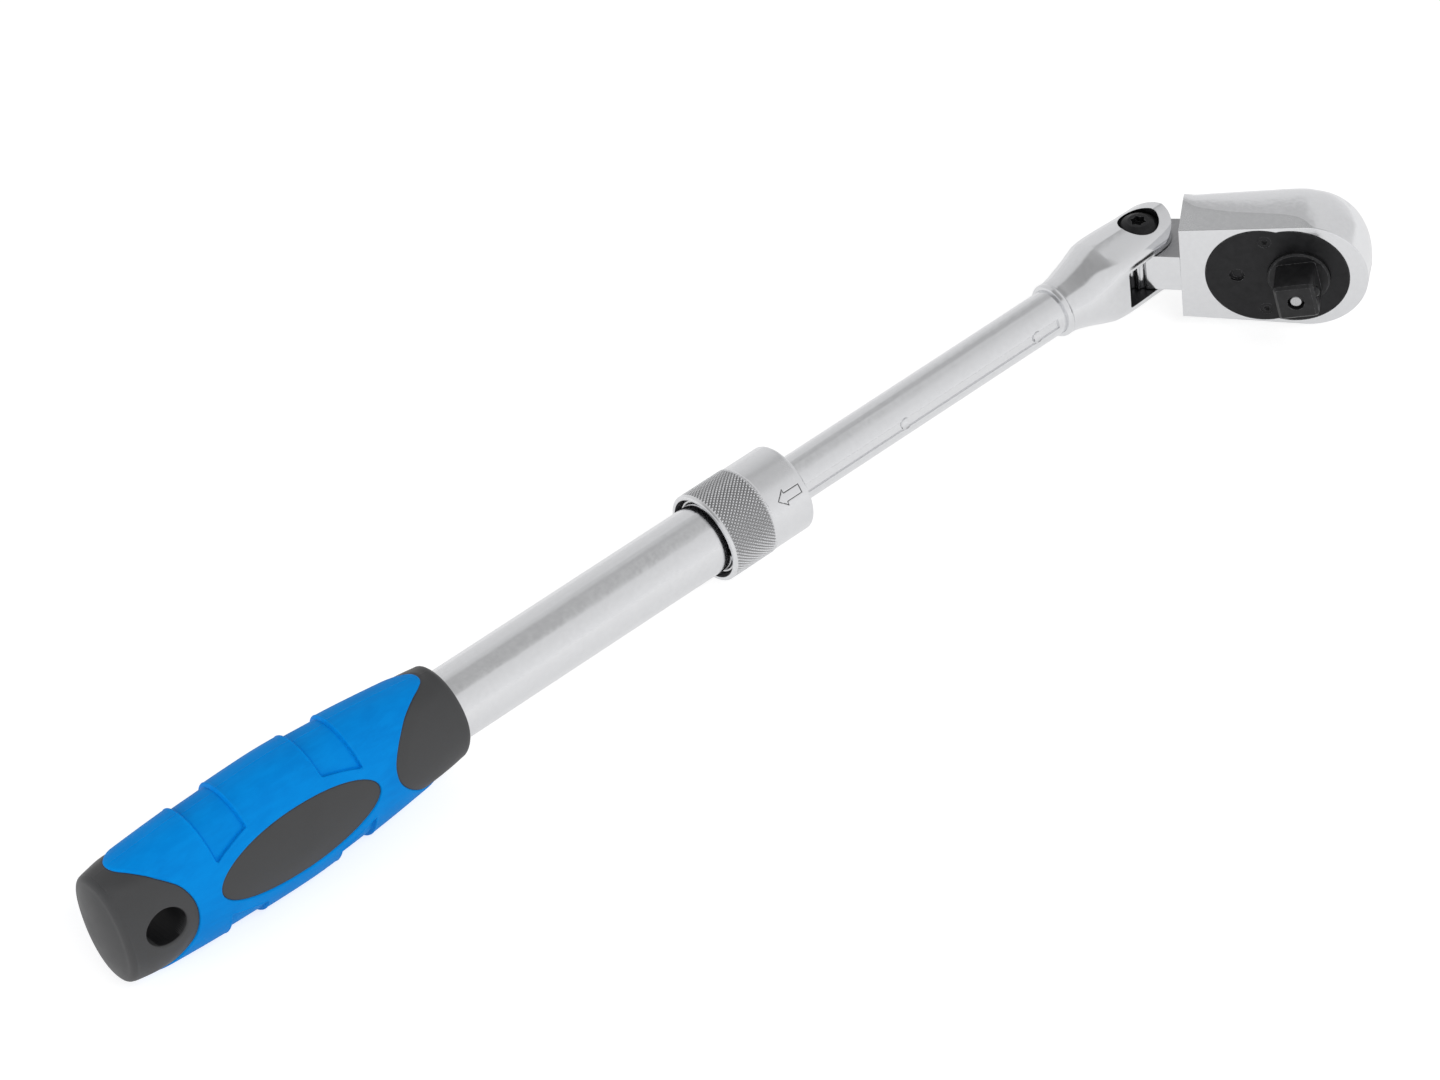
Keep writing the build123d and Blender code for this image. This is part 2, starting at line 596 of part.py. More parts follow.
def gear_profile(tip_r, root_r):
    """Pointed teeth, each as four (x, y) points: root, tip, tip, root."""
    pitch = 2 * math.pi / GEAR_TEETH
    points = []
    for i in range(GEAR_TEETH):
        for offset, radius in ((-0.42, root_r), (-0.06, tip_r), (0.06, tip_r), (0.42, root_r)):
            angle = (i + offset) * pitch
            points.append((radius * math.cos(angle), radius * math.sin(angle)))
    return points


def make_square():
    square = Pos(0, 0, BOSS_Z - 0.5) * extrude(
        RectangleRounded(SQUARE, SQUARE, 1.3), amount=POST_END - BOSS_Z + 0.5)
    tip_edges = [edge for edge in square.edges() if abs(edge.center().Z - POST_END) < 0.01]
    # Guards the chamfer across the rounded corners; the tip stays sharp if it fails
    try:
        square = chamfer(tip_edges, 0.9)
    except Exception:
        pass
    return Rot(0, 0, SQUARE_TURN) * square


def make_drive_gear():
    gear = prism(gear_profile(GEAR_TIP, GEAR_ROOT), GEAR_LOW, GEAR_HIGH)
    gear = gear + cyl_z(JOURNAL_LOW, GEAR_LOW + 0.5, JOURNAL_R)
    gear = gear + turned_z([
        (0, GEAR_HIGH - 0.5),
        (BOSS_R, GEAR_HIGH - 0.5),
        (BOSS_R, BOSS_Z - 0.5),
        (BOSS_R - 0.5, BOSS_Z),
        (0, BOSS_Z)])
    gear = gear + make_square()
    # rod bore, its narrower mouth, spring chamber, ball hole
    gear = gear - cyl_z(CHAMBER_TOP - 0.1, ROD_BORE_END, ROD_BORE)
    gear = gear - cyl_z(ROD_BORE_END - 0.1, POST_END + 1, 2.7)
    gear = gear - cyl_z(JOURNAL_LOW - 1, CHAMBER_TOP, CHAMBER_R)
    ball_hole = Plane(origin=(0, 0, SOCKET_BALL_Z), x_dir=(0, 0, 1),
                      z_dir=(SQUARE_X, SQUARE_Y, 0)).location
    return gear - cyl_on(ball_hole, SOCKET_BALL_R + BALL_FIT, 12)


save("drive_gear", make_drive_gear(), HEAD)
ball_place = Pos(BALL_OUT * SQUARE_X, BALL_OUT * SQUARE_Y, SOCKET_BALL_Z)
save("socket_ball", ball_place * Sphere(SOCKET_BALL_R), HEAD)

# ---------------------------------------------------------------------------
# Quick release
# ---------------------------------------------------------------------------
RELEASE_TRAVEL = 2.5
SOCKET_BALL_DROP = 1.0   # how far the ball moves in over the travel
CONE_SLOPE = SOCKET_BALL_DROP / RELEASE_TRAVEL
CONE_AT_BALL = BALL_OUT - SOCKET_BALL_R / math.cos(math.atan(CONE_SLOPE)) - 0.03
LAND_R = ROD_BORE - 0.05
ROD_NECK_R = 1.7
CONE_TOP = SOCKET_BALL_Z + (LAND_R - CONE_AT_BALL) / CONE_SLOPE
CONE_LOW = SOCKET_BALL_Z - (CONE_AT_BALL - ROD_NECK_R) / CONE_SLOPE
LAND_TOP = ROD_BORE_END - RELEASE_TRAVEL - 0.1
FLANGE_Z = -6.9          # spring seat on the button
FLANGE_R = CHAMBER_R - 0.1

# The land holds the ball out; the cone lets it in as the rod is pushed
save("release_rod", turned_z([
    (0, -6.0), (2.6, -6.0), (2.6, 0.6), (LAND_R, 1.2),
    (LAND_R, CONE_LOW - 1.4), (ROD_NECK_R, CONE_LOW - 0.5), (ROD_NECK_R, CONE_LOW),
    (LAND_R, CONE_TOP), (LAND_R, LAND_TOP), (2.1, LAND_TOP + 0.05),
    (2.1, POST_END - 1.1), (1.7, POST_END - 0.7), (0, POST_END - 0.6)]), HEAD)
save("release_button", turned_z([
    (0, -6.02), (0, FLANGE_Z), (0, -17.4), (3.9, -17.4), (4.8, -16.9),
    (BUTTON_R, -16.0), (BUTTON_R, -8.45), (FLANGE_R, -8.45), (FLANGE_R, FLANGE_Z),
    (3.4, FLANGE_Z), (3.4, -6.02)]), HEAD)
release_ring = cyl_z(JOURNAL_LOW + 0.3, -8.5, CHAMBER_R - CLOSE_FIT)
release_ring = release_ring - cyl_z(-20, 0, BUTTON_R + 0.06)
save("release_ring", release_ring, HEAD)
save("release_spring", coil(
    radius=4.8, wire=0.8, turns=4.0, start=(0, 0, FLANGE_Z + 0.45),
    end=(0, 0, CHAMBER_TOP - 0.55), z_dir=(0, 0, 1)), HEAD)

# ---------------------------------------------------------------------------
# Pawl
# ---------------------------------------------------------------------------
PAWL_ROCK = 6.8          # total rocking travel, degrees
PAWL_LOW, PAWL_HIGH = GEAR_LOW + 0.1, GEAR_HIGH - 0.05
PAWL_GAP = 0.07          # clearance to the gear teeth
PAWL_CUTS = 41
PAWL_BLANK = [           # x, y: two arms beside the gear, narrowing to a flat rear end
    (-23.4, -3.4), (-21.0, -5.6), (-14.0, -9.8), (-9.4, -8.4), (-8.6, -6.4), (-12.0, 0),
    (-8.6, 6.4), (-9.4, 8.4), (-14.0, 9.8), (-21.0, 5.6), (-23.4, 3.4)]


def make_pawl():
    """Cut by the gear in both end positions and between, then rocked to one end."""
    teeth = gear_profile(GEAR_TIP + PAWL_GAP, GEAR_ROOT + PAWL_GAP)
    cutter = prism(teeth, PAWL_LOW - 1, PAWL_HIGH + 1)
    pawl = prism(PAWL_BLANK, PAWL_LOW, PAWL_HIGH)
    half = PAWL_ROCK / 2
    for i in range(PAWL_CUTS):
        degrees = -half + PAWL_ROCK * i / (PAWL_CUTS - 1)
        pawl = pawl - turned_about(PAWL_X, -degrees, cutter)
    pawl = pawl - cyl_z(-20, 20, PIN_R + 0.04, x=PAWL_X)
    # drop any slivers left between the cuts
    pawl = max(solids_of(pawl), key=lambda solid: solid.volume)
    return turned_about(PAWL_X, half, pawl)


save("pawl", make_pawl(), HEAD)

# ---------------------------------------------------------------------------
# Reverse lever with its sprung plunger
# ---------------------------------------------------------------------------
LEVER_TURN = 44.0        # total turn of the lever, degrees
LEVER_BORE_Z = 0.4       # axis of the plunger bore
LEVER_BORE_BACK = LEVER_X - 2.4
STEM_LOW = BACK_TAIL - 0.45
TAB_TOP = BACK_NOSE - 0.25
KNOB_LOW = TAB_TOP - 2.2
TAB = [                  # x, y
    (LEVER_X + 2, -5.2), (LEVER_X + 15.5, -3.2), (LEVER_X + 17.5, 0),
    (LEVER_X + 15.5, 3.2), (LEVER_X + 2, 5.2)]


def make_lever():
    stem = cyl_z(STEM_LOW - 0.01, LEVER_TOP, LEVER_R, x=LEVER_X)
    knob = cyl_z(KNOB_LOW, STEM_LOW, 7.6, x=LEVER_X)
    knob = knob + prism(TAB, KNOB_LOW, TAB_TOP)
    lever = stem + knob
    return lever - cyl_x(LEVER_BORE_BACK, LEVER_BORE_BACK + 12, 1.25, z=LEVER_BORE_Z)


def save_on_lever(name, shape):
    """Save a piece turned with the lever to one end of its travel."""
    save(name, turned_about(LEVER_X, LEVER_TURN / 2, shape), HEAD)


save_on_lever("reverse_lever", make_lever())
save_on_lever("lever_plunger", Pos(0, 0, LEVER_BORE_Z) * turned_x([
    (LEVER_X + 0.9, 0), (LEVER_X + 0.9, 1.2), (LEVER_X + 4.4, 1.2),
    (LEVER_X + 5.1, 0.6), (LEVER_X + 5.2, 0)]))
save_on_lever("lever_spring", coil_x(
    radius=0.85, wire=0.34, turns=4.0,
    start=LEVER_X - 2.2, end=LEVER_X + 0.28, z=LEVER_BORE_Z))
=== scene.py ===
"""A flex-head ratchet wrench with an overmoulded grip, lying along +X.

Shapes are laid out in millimetres and stored in metres. The grip's domed end is near x = -16,
the fork's pivot runs along Z at x = 394.5, and the head beyond it is bent 50 degrees from +X
towards -Y.
"""
import json
from math import acos, atan2, cos, hypot, pi, radians, sin, sqrt, tan

import bmesh
import bpy
import numpy as np
from mathutils import Matrix, Vector


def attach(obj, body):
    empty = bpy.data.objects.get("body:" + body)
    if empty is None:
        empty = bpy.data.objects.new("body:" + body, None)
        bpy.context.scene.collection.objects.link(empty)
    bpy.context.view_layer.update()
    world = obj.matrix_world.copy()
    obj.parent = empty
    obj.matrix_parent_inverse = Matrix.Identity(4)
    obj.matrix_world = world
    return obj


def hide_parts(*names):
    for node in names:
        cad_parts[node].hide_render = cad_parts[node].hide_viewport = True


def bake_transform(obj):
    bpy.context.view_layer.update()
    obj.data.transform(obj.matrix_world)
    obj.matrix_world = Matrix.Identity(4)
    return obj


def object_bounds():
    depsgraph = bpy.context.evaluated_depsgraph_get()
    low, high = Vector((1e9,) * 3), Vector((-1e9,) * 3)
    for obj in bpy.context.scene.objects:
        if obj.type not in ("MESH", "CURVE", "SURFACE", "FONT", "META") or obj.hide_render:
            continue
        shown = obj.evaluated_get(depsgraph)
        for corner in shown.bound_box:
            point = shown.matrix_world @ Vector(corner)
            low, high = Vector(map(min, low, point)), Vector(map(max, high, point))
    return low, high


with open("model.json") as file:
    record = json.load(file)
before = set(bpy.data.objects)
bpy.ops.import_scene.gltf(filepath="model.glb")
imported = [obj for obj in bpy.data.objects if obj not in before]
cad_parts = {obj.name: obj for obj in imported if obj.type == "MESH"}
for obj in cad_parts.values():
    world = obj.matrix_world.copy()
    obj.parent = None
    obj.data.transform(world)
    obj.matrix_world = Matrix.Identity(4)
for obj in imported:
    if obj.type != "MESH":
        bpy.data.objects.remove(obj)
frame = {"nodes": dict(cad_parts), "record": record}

cad_lo, cad_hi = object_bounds()

PIVOT_X = 394.5
# the head's own frame: x along the head away from the pivot, z out of its flat face,
# y along the row's Z; the origin is on the drive axis
HEAD_REACH = 51.0                     # pivot to drive axis
HEAD_X = np.array([0.642788, -0.766044, 0.0])
HEAD_Z = np.array([-0.766044, -0.642788, 0.0])
HEAD_ORIGIN = np.array([PIVOT_X, 0.0, 0.0]) + HEAD_REACH * HEAD_X
DRIVE_CENTRE = np.round(HEAD_ORIGIN, 3)


# ---------------------------------------------------------------------------
# node kit
# ---------------------------------------------------------------------------
class Nodes:
    """A node tree with the building blocks shared by the finishes and the world."""

    def __init__(self, tree, output_kind):
        self.tree = tree
        tree.nodes.clear()
        self.out = self.node(output_kind)

    def node(self, kind, **settings):
        made = self.tree.nodes.new(kind)
        for key, value in settings.items():
            setattr(made, key, value)
        return made

    def link(self, source, socket):
        self.tree.links.new(source, socket)

    def feed(self, socket, value):
        """Sets a number or a colour on a socket, or links an output to it."""
        if isinstance(value, (int, float)):
            socket.default_value = value
        elif isinstance(value, tuple):
            socket.default_value = (*value, 1)
        else:
            self.link(value, socket)

    def math(self, operation, *values, clamp=False):
        made = self.node("ShaderNodeMath", operation=operation, use_clamp=clamp)
        for socket, value in zip(made.inputs, values):
            self.feed(socket, value)
        return made.outputs[0]

    def remap(self, value, to, source=(0.3, 0.7), interpolation="LINEAR"):
        """Maps the source range onto another one, clamped at both ends."""
        made = self.node("ShaderNodeMapRange", clamp=True, interpolation_type=interpolation)
        for key, number in zip(("From Min", "From Max", "To Min", "To Max"), (*source, *to)):
            made.inputs[key].default_value = number
        self.link(value, made.inputs["Value"])
        return made.outputs["Result"]

    def mix(self, factor, first, second):
        made = self.node("ShaderNodeMix", data_type="RGBA")
        for index, value in ((0, factor), (6, first), (7, second)):
            self.feed(made.inputs[index], value)
        return made.outputs[2]

    def ramp(self, factor, stops):
        made = self.node("ShaderNodeValToRGB")
        elements = made.color_ramp.elements
        while len(elements) > 1:
            elements.remove(elements[-1])
        for i, (position, color) in enumerate(stops):
            element = elements[0] if i == 0 else elements.new(position)
            element.position = position
            element.color = (*color, 1)
        self.link(factor, made.inputs["Fac"])
        return made.outputs["Color"]


class Finish(Nodes):
    """A principled material whose textures are scaled per millimetre of object space."""

    INPUTS = {"color": "Base Color", "metal": "Metallic", "rough": "Roughness",
              "normal": "Normal", "spec": "Specular IOR Level",
              "glow_color": "Emission Color", "glow": "Emission Strength"}

    def __init__(self, name):
        self.material = bpy.data.materials.new(name + "_finish")
        self.material.use_nodes = True
        super().__init__(self.material.node_tree, "ShaderNodeOutputMaterial")
        self.surface = self.node("ShaderNodeBsdfPrincipled")
        self.link(self.surface.outputs[0], self.out.inputs[0])
        self.coords = self.node("ShaderNodeTexCoord").outputs["Object"]

    def mapped(self, stretch=(1, 1, 1)):
        made = self.node("ShaderNodeMapping")
        made.inputs["Scale"].default_value = [s * 1000 for s in stretch]
        self.link(self.coords, made.inputs["Vector"])
        return made.outputs[0]

    def noise(self, scale, stretch=(1, 1, 1), detail=3.0, rough=0.55, distort=0.0):
        made = self.node("ShaderNodeTexNoise")
        made.inputs["Scale"].default_value = scale
        made.inputs["Detail"].default_value = detail
        made.inputs["Roughness"].default_value = rough
        made.inputs["Distortion"].default_value = distort
        self.link(self.mapped(stretch), made.inputs["Vector"])
        return made.outputs["Fac"]

    def cells(self, scale):
        made = self.node("ShaderNodeTexVoronoi")
        made.inputs["Scale"].default_value = scale
        self.link(self.mapped(), made.inputs["Vector"])
        return made.outputs["Distance"]

    def weighted(self, first, first_share, second, second_share):
        return self.math("ADD", self.math("MULTIPLY", first, first_share),
                         self.math("MULTIPLY", second, second_share))

    def bevel(self, radius_mm):
        made = self.node("ShaderNodeBevel", samples=4)
        made.inputs["Radius"].default_value = radius_mm / 1000
        return made.outputs[0]

    def edges(self, radius_mm, gain):
        """1 along sharp edges, 0 on open surface."""
        dot = self.node("ShaderNodeVectorMath", operation="DOT_PRODUCT")
        self.link(self.bevel(radius_mm), dot.inputs[0])
        self.link(self.node("ShaderNodeNewGeometry").outputs["Normal"], dot.inputs[1])
        bend = self.math("SUBTRACT", 1.0, dot.outputs["Value"])
        return self.math("MULTIPLY", bend, gain, clamp=True)

    def bump(self, height, strength, depth_mm, round_mm=None, after=None):
        """Relief laid over another normal, over edges rounded in shading, or over neither."""
        made = self.node("ShaderNodeBump")
        made.inputs["Strength"].default_value = strength
        made.inputs["Distance"].default_value = depth_mm / 1000
        self.link(height, made.inputs["Height"])
        if after is not None:
            self.link(after, made.inputs["Normal"])
        elif round_mm:
            self.link(self.bevel(round_mm), made.inputs["Normal"])
        return made.outputs["Normal"]

    def done(self, **inputs):
        for key, value in inputs.items():
            self.feed(self.surface.inputs[self.INPUTS[key]], value)
        return self.material


# ---------------------------------------------------------------------------
# finishes: base is the colour, rough the range of roughness
# ---------------------------------------------------------------------------
MIDDLE = (0.35, 0.65)                 # source range that sharpens a noise a little
DRAWN = (0.03, 2.2, 2.2)              # noise stretched into lines along X


def shade(color, factor):
    return tuple(c * factor for c in color)


def chrome(name, base=(0.83, 0.835, 0.85), rough=(0.10, 0.22), lines=None, round_mm=0.25,
           peel=0.05):
    """Polished plating over steel: soft orange peel, faint drawn lines, rubbed patches."""
    mat = Finish(name)
    broad = mat.noise(scale=0.05, rough=0.6)
    medium = mat.noise(scale=0.6, detail=4, rough=0.6)
    patches = mat.math("MULTIPLY", mat.math("ADD", broad, medium), 0.5)
    roughness = mat.remap(patches, to=rough, source=MIDDLE)
    fine = mat.noise(scale=5.0, detail=2)
    if lines:
        streaks = mat.noise(scale=1.0, stretch=lines, detail=4, rough=0.65)
        fine = mat.weighted(streaks, 0.8, fine, 0.2)
        roughness = mat.math("ADD", roughness, mat.remap(streaks, to=(-0.03, 0.05)))
    tint = mat.mix(mat.remap(medium, to=(0.0, 1.0)), shade(base, 0.96), base)
    grain = mat.bump(fine, strength=0.06, depth_mm=0.05, round_mm=round_mm)
    waves = mat.bump(mat.noise(scale=0.22, detail=2), strength=peel, depth_mm=1.0, after=grain)
    return mat.done(color=tint, metal=1.0, rough=roughness, normal=waves)


def steel(name, base=(0.60, 0.60, 0.61), rough=(0.22, 0.38)):
    """Bare steel with mottled roughness and fine scratches along X."""
    mat = Finish(name)
    mottle = mat.noise(scale=2.0, detail=5, rough=0.65)
    roughness = mat.remap(mottle, to=rough)
    scratches = mat.noise(scale=1.0, stretch=(0.25, 6, 6))
    tint = mat.mix(mat.remap(scratches, to=(0, 1), source=MIDDLE), shade(base, 0.86), base)
    relief = mat.bump(scratches, strength=0.12, depth_mm=0.03, round_mm=0.12)
    return mat.done(color=tint, metal=1.0, rough=roughness, normal=relief)


def black_oxide(name, base=(0.012, 0.012, 0.013), rough=(0.34, 0.5), wear=0.8):
    """Blackened steel: satin, slightly blotchy, rubbed to bare metal on its edges."""
    mat = Finish(name)
    blotches = mat.noise(scale=0.35, detail=5, rough=0.62)
    fine = mat.noise(scale=7.0)
    edges = mat.edges(radius_mm=0.22, gain=5.0)
    broken = mat.remap(mat.noise(scale=1.4, detail=5, rough=0.7), to=(0.0, 1.0),
                       source=(0.42, 0.62))
    bare = mat.math("MULTIPLY", mat.math("MULTIPLY", edges, broken), wear, clamp=True)
    specks = mat.remap(mat.noise(scale=2.6, detail=6, rough=0.75), to=(0.0, 0.35),
                       source=(0.66, 0.74))
    bare = mat.math("MAXIMUM", bare, specks)
    dark = mat.mix(mat.remap(blotches, to=(0, 1)), shade(base, 0.75), shade(base, 1.5))
    return mat.done(
        color=mat.mix(bare, dark, (0.32, 0.32, 0.33)),
        metal=mat.math("MAXIMUM", mat.math("MULTIPLY", bare, 1.0), 0.55),
        rough=mat.remap(blotches, to=rough),
        normal=mat.bump(fine, strength=0.10, depth_mm=0.04, round_mm=0.2))


def plastic(name, base=(0.036, 0.0365, 0.038), rough=(0.42, 0.55)):
    """Moulded matt plastic: fine grain, shine that drifts slowly."""
    mat = Finish(name)
    broad = mat.noise(scale=0.07)
    grain = mat.noise(scale=3.4, rough=0.6)
    relief = mat.weighted(grain, 0.7, mat.cells(scale=2.6), 0.3)
    tint = mat.mix(mat.remap(broad, to=(0, 1), source=MIDDLE), shade(base, 0.9), shade(base, 1.1))
    tint = mat.mix(mat.remap(grain, to=(0, 0.35), source=MIDDLE), tint, shade(base, 1.25))
    return mat.done(color=tint, rough=mat.remap(broad, to=rough, source=MIDDLE),
                    normal=mat.bump(relief, strength=0.16, depth_mm=0.08))


def rubber(name):
    """Soft satin blue with faint flow mottling."""
    mat = Finish(name)
    red, green, blue = base = (0.0, 0.225, 0.66)
    deep = (red, green * 0.86, blue * 0.9)
    light = (red + 0.001, green * 1.12, blue * 1.06)
    broad = mat.noise(scale=0.045, detail=2)
    flow = mat.noise(scale=0.5, stretch=(0.3, 1, 1), detail=4, rough=0.6, distort=0.4)
    tint = mat.mix(mat.remap(broad, to=(0, 1), source=MIDDLE), deep, base)
    tint = mat.mix(mat.remap(flow, to=(0, 0.5), source=(0.4, 0.65)), tint, light)
    return mat.done(color=tint, rough=mat.remap(flow, to=(0.46, 0.58)), spec=0.05,
                    normal=mat.bump(mat.noise(scale=4.0), strength=0.10, depth_mm=0.05))


def bronze(name):
    """Warm bearing metal with marks across X."""
    mat = Finish(name)
    marks = mat.noise(scale=1.0, stretch=(3, 0.4, 0.4), detail=4)
    tint = mat.mix(mat.remap(marks, to=(0, 1)), (0.36, 0.22, 0.09), (0.55, 0.36, 0.16))
    return mat.done(color=tint, metal=1.0, rough=mat.remap(marks, to=(0.25, 0.4)),
                    normal=mat.bump(marks, strength=0.2, depth_mm=0.05, round_mm=0.15))


def grey_steel(name, grey, blue, rough):
    return steel(name, base=(grey, grey, blue), rough=rough)


FINISHES = {
    "black_grip": plastic("black_grip"),
    "blue_grip": rubber("blue_grip"),
    "plug_plastic": plastic("plug", base=(0.04, 0.04, 0.042)),
    "chrome_tube": chrome("chrome_tube", lines=DRAWN),
    "chrome_collar": chrome("chrome_collar", rough=(0.16, 0.28), peel=0.02),
    "chrome_shaft": chrome("chrome_shaft", lines=DRAWN),
    "chrome_forging": chrome("chrome_forging", rough=(0.10, 0.2)),
    "ground_side": chrome("ground_side", base=(0.69, 0.695, 0.705), rough=(0.20, 0.30),
                          round_mm=None),
    "dome_polish": chrome("dome_polish", base=(0.90, 0.905, 0.92), rough=(0.08, 0.18)),
    # near-black steel for the fork's slot and pivot bores: painted shade
    "slot_painted_shade": grey_steel("slot_painted_shade", grey=0.055, blue=0.058, rough=(0.38, 0.55)),
    # near-black steel for the inside of a bore: painted shade
    "bore_painted_shade": grey_steel("bore_painted_shade", grey=0.035, blue=0.038, rough=(0.4, 0.55)),
    "tang_side": grey_steel("tang_side", grey=0.46, blue=0.47, rough=(0.34, 0.5)),
    "groove_shade": grey_steel("groove_shade", grey=0.20, blue=0.205, rough=(0.3, 0.45)),
    "knurl_shade": grey_steel("knurl_shade", grey=0.48, blue=0.485, rough=(0.28, 0.42)),
    # spring steel made far lighter for the wire ring, which sits in shade: painted light
    "wire_painted_light": grey_steel("wire_painted_light", grey=0.86, blue=0.87, rough=(0.12, 0.22)),
    # the grip's black plastic made darker for its hole wall: painted shade in the hole
    "hole_painted_shade": plastic("hole_painted_shade", base=(0.008, 0.008, 0.009), rough=(0.5, 0.6)),
    "bright_steel": steel("bright_steel"),
    "spring_steel": grey_steel("spring_steel", grey=0.33, blue=0.34, rough=(0.2, 0.34)),
    "bearing_bronze": bronze("bearing_bronze"),
    "black_oxide": black_oxide("black_oxide"),
    "black_phosphate": black_oxide("black_phosphate", base=(0.019, 0.019, 0.020),
                                   rough=(0.3, 0.45), wear=1.0),
    "lever_black": black_oxide("lever_black", wear=0.6),
}
for subpart in frame["record"]["subparts"]:
    cad_mesh = frame["nodes"][subpart["node"]].data
    cad_mesh.materials.clear()
    cad_mesh.materials.append(FINISHES[subpart["material_slot"]])


# ---------------------------------------------------------------------------
# curves and distances
# ---------------------------------------------------------------------------
def pchip(knots, values, x):
    """Shape-keeping cubic through the points; x is held inside the knots."""
    knots, values = np.asarray(knots, float), np.asarray(values, float)
    gap = np.diff(knots)
    rise = np.diff(values) / gap
    slope = np.zeros(len(knots))
    for i in range(1, len(knots) - 1):
        if rise[i - 1] * rise[i] > 0:
            w1, w2 = 2 * gap[i] + gap[i - 1], gap[i] + 2 * gap[i - 1]
            slope[i] = (w1 + w2) / (w1 / rise[i - 1] + w2 / rise[i])
    slope[0], slope[-1] = rise[0], rise[-1]
    x = np.clip(np.asarray(x, float), knots[0], knots[-1])
    i = np.clip(np.searchsorted(knots, x, side="right") - 1, 0, len(knots) - 2)
    t = (x - knots[i]) / gap[i]
    return ((2 * t**3 - 3 * t**2 + 1) * values[i]
            + (t**3 - 2 * t**2 + t) * gap[i] * slope[i]
            + (-2 * t**3 + 3 * t**2) * values[i + 1]
            + (t**3 - t**2) * gap[i] * slope[i + 1])


def curve_through(points, steps=10):
    """Catmull-Rom curve through an open list of points."""
    knots = np.asarray(points, float)
    knots = np.vstack([2 * knots[0] - knots[1], knots, 2 * knots[-1] - knots[-2]])
    curve = []
    for i in range(1, len(knots) - 2):
        a, b, c, d = knots[i - 1:i + 3]
        for k in range(steps):
            t = k / steps
            curve.append(0.5 * ((2 * b) + (-a + c) * t + (2 * a - 5 * b + 4 * c - d) * t * t
                                + (-a + 3 * b - 3 * c + d) * t**3))
    curve.append(knots[-2])
    return np.array(curve)


def line_distance(points, line, closed=False):
    """Distance from each point to a polyline, in the plane."""
    starts = line if closed else line[:-1]
    ends = np.roll(line, -1, axis=0) if closed else line[1:]
    best = np.full(len(points), 1e9)
    for start, end in zip(starts, ends):
        run = end - start
        length_sq = max(float(run @ run), 1e-12)
        t = np.clip(((points - start) @ run) / length_sq, 0, 1)
        best = np.minimum(best, np.hypot(*(points - start - t[:, None] * run).T))
    return best


def in_polygon(points, polygon):
    x, y = points[:, 0], points[:, 1]
    inside = np.zeros(len(points), bool)
    for i, (xi, yi) in enumerate(polygon):
        xj, yj = polygon[i - 1]
        inside ^= ((yi > y) != (yj > y)) & (x < (xj - xi) * (y - yi) / ((yj - yi) or 1e-12) + xi)
    return inside


def beyond_line(points, line, direction):
    """Inside the region on one x side of a curve running across z."""
    far = 60.0 * direction
    closing = [[line[-1][0] + far, line[-1][1]], [line[0][0] + far, line[0][1]]]
    return in_polygon(points, np.vstack([line, closing]))


def signed(distance, inside):
    return np.where(inside, -distance, distance)


def smooth01(t):
    t = np.clip(t, 0, 1)
    return t * t * (3 - 2 * t)


def bell(value, centre, width):
    return np.exp(-(((value - centre) / width) ** 2))


def edge_round(distance, radius):
    """Drop of a rounded edge at a distance in from it."""
    short = np.clip(radius - np.clip(distance, 0, radius), 0, radius)
    return radius - np.sqrt(np.maximum(radius**2 - short**2, 0))


def arc_points(centre, radius, start_deg, end_deg, count):
    return [(centre[0] + radius * cos(a), centre[1] + radius * sin(a))
            for a in np.linspace(radians(start_deg), radians(end_deg), count)]


# ---------------------------------------------------------------------------
# triangle meshes: splitting, welding, closing
# ---------------------------------------------------------------------------
SNAP = 0.015                          # field values this near a level count as on it


def triangle_edges(tris):
    edges = np.concatenate([tris[:, [0, 1]], tris[:, [1, 2]], tris[:, [2, 0]]])
    return edges, np.sort(edges, axis=1)


def split_at_level(params, fields, tris, key, level):
    """Cuts every triangle that a level line of one field crosses."""
    value = fields[key] - level
    value = np.where(np.abs(value) < SNAP, 0.0, value)
    fields[key] = value + level
    corner_values = value[tris]
    crossed = (corner_values.min(axis=1) < 0) & (corner_values.max(axis=1) > 0)
    work = tris[crossed]
    if not len(work):
        return params, tris
    ordered = triangle_edges(work)[1]
    end_values = value[ordered]
    is_cut = (end_values[:, 0] * end_values[:, 1]) < 0
    ends, which = np.unique(ordered[is_cut], axis=0, return_inverse=True)
    start, end = ends[:, 0], ends[:, 1]
    t = value[start] / (value[start] - value[end])
    cut_vertex = np.full(len(ordered), -1)
    cut_vertex[is_cut] = len(params) + which.reshape(-1)
    added = params[start] * (1 - t[:, None]) + params[end] * t[:, None]
    params = np.concatenate([params, added])
    for name, old in fields.items():
        new = old[start] * (1 - t) + old[end] * t
        if name == key:
            new = np.full(len(ends), float(level))
        fields[name] = np.concatenate([old, new])
    pieces = []
    for corners, cuts in zip(work, cut_vertex.reshape(3, -1).T):
        one_cut = sum(c >= 0 for c in cuts) == 1
        # turn the triangle to start at its only cut edge, or at its only uncut one
        k = next(j for j in range(3) if (cuts[j] >= 0) == one_cut)
        first, second, third = corners[k], corners[(k + 1) % 3], corners[(k + 2) % 3]
        if one_cut:
            pieces += [(first, cuts[k], third), (cuts[k], second, third)]
        else:
            near, far = cuts[(k + 1) % 3], cuts[(k + 2) % 3]
            pieces += [(near, third, far), (first, second, near), (first, near, far)]
    return params, np.concatenate([tris[~crossed], np.array(pieces, dtype=tris.dtype)])


def open_edges(tris):
    edges, ordered = triangle_edges(tris)
    _, which, count = np.unique(ordered, axis=0, return_inverse=True, return_counts=True)
    return edges[count[which.reshape(-1)] == 1]


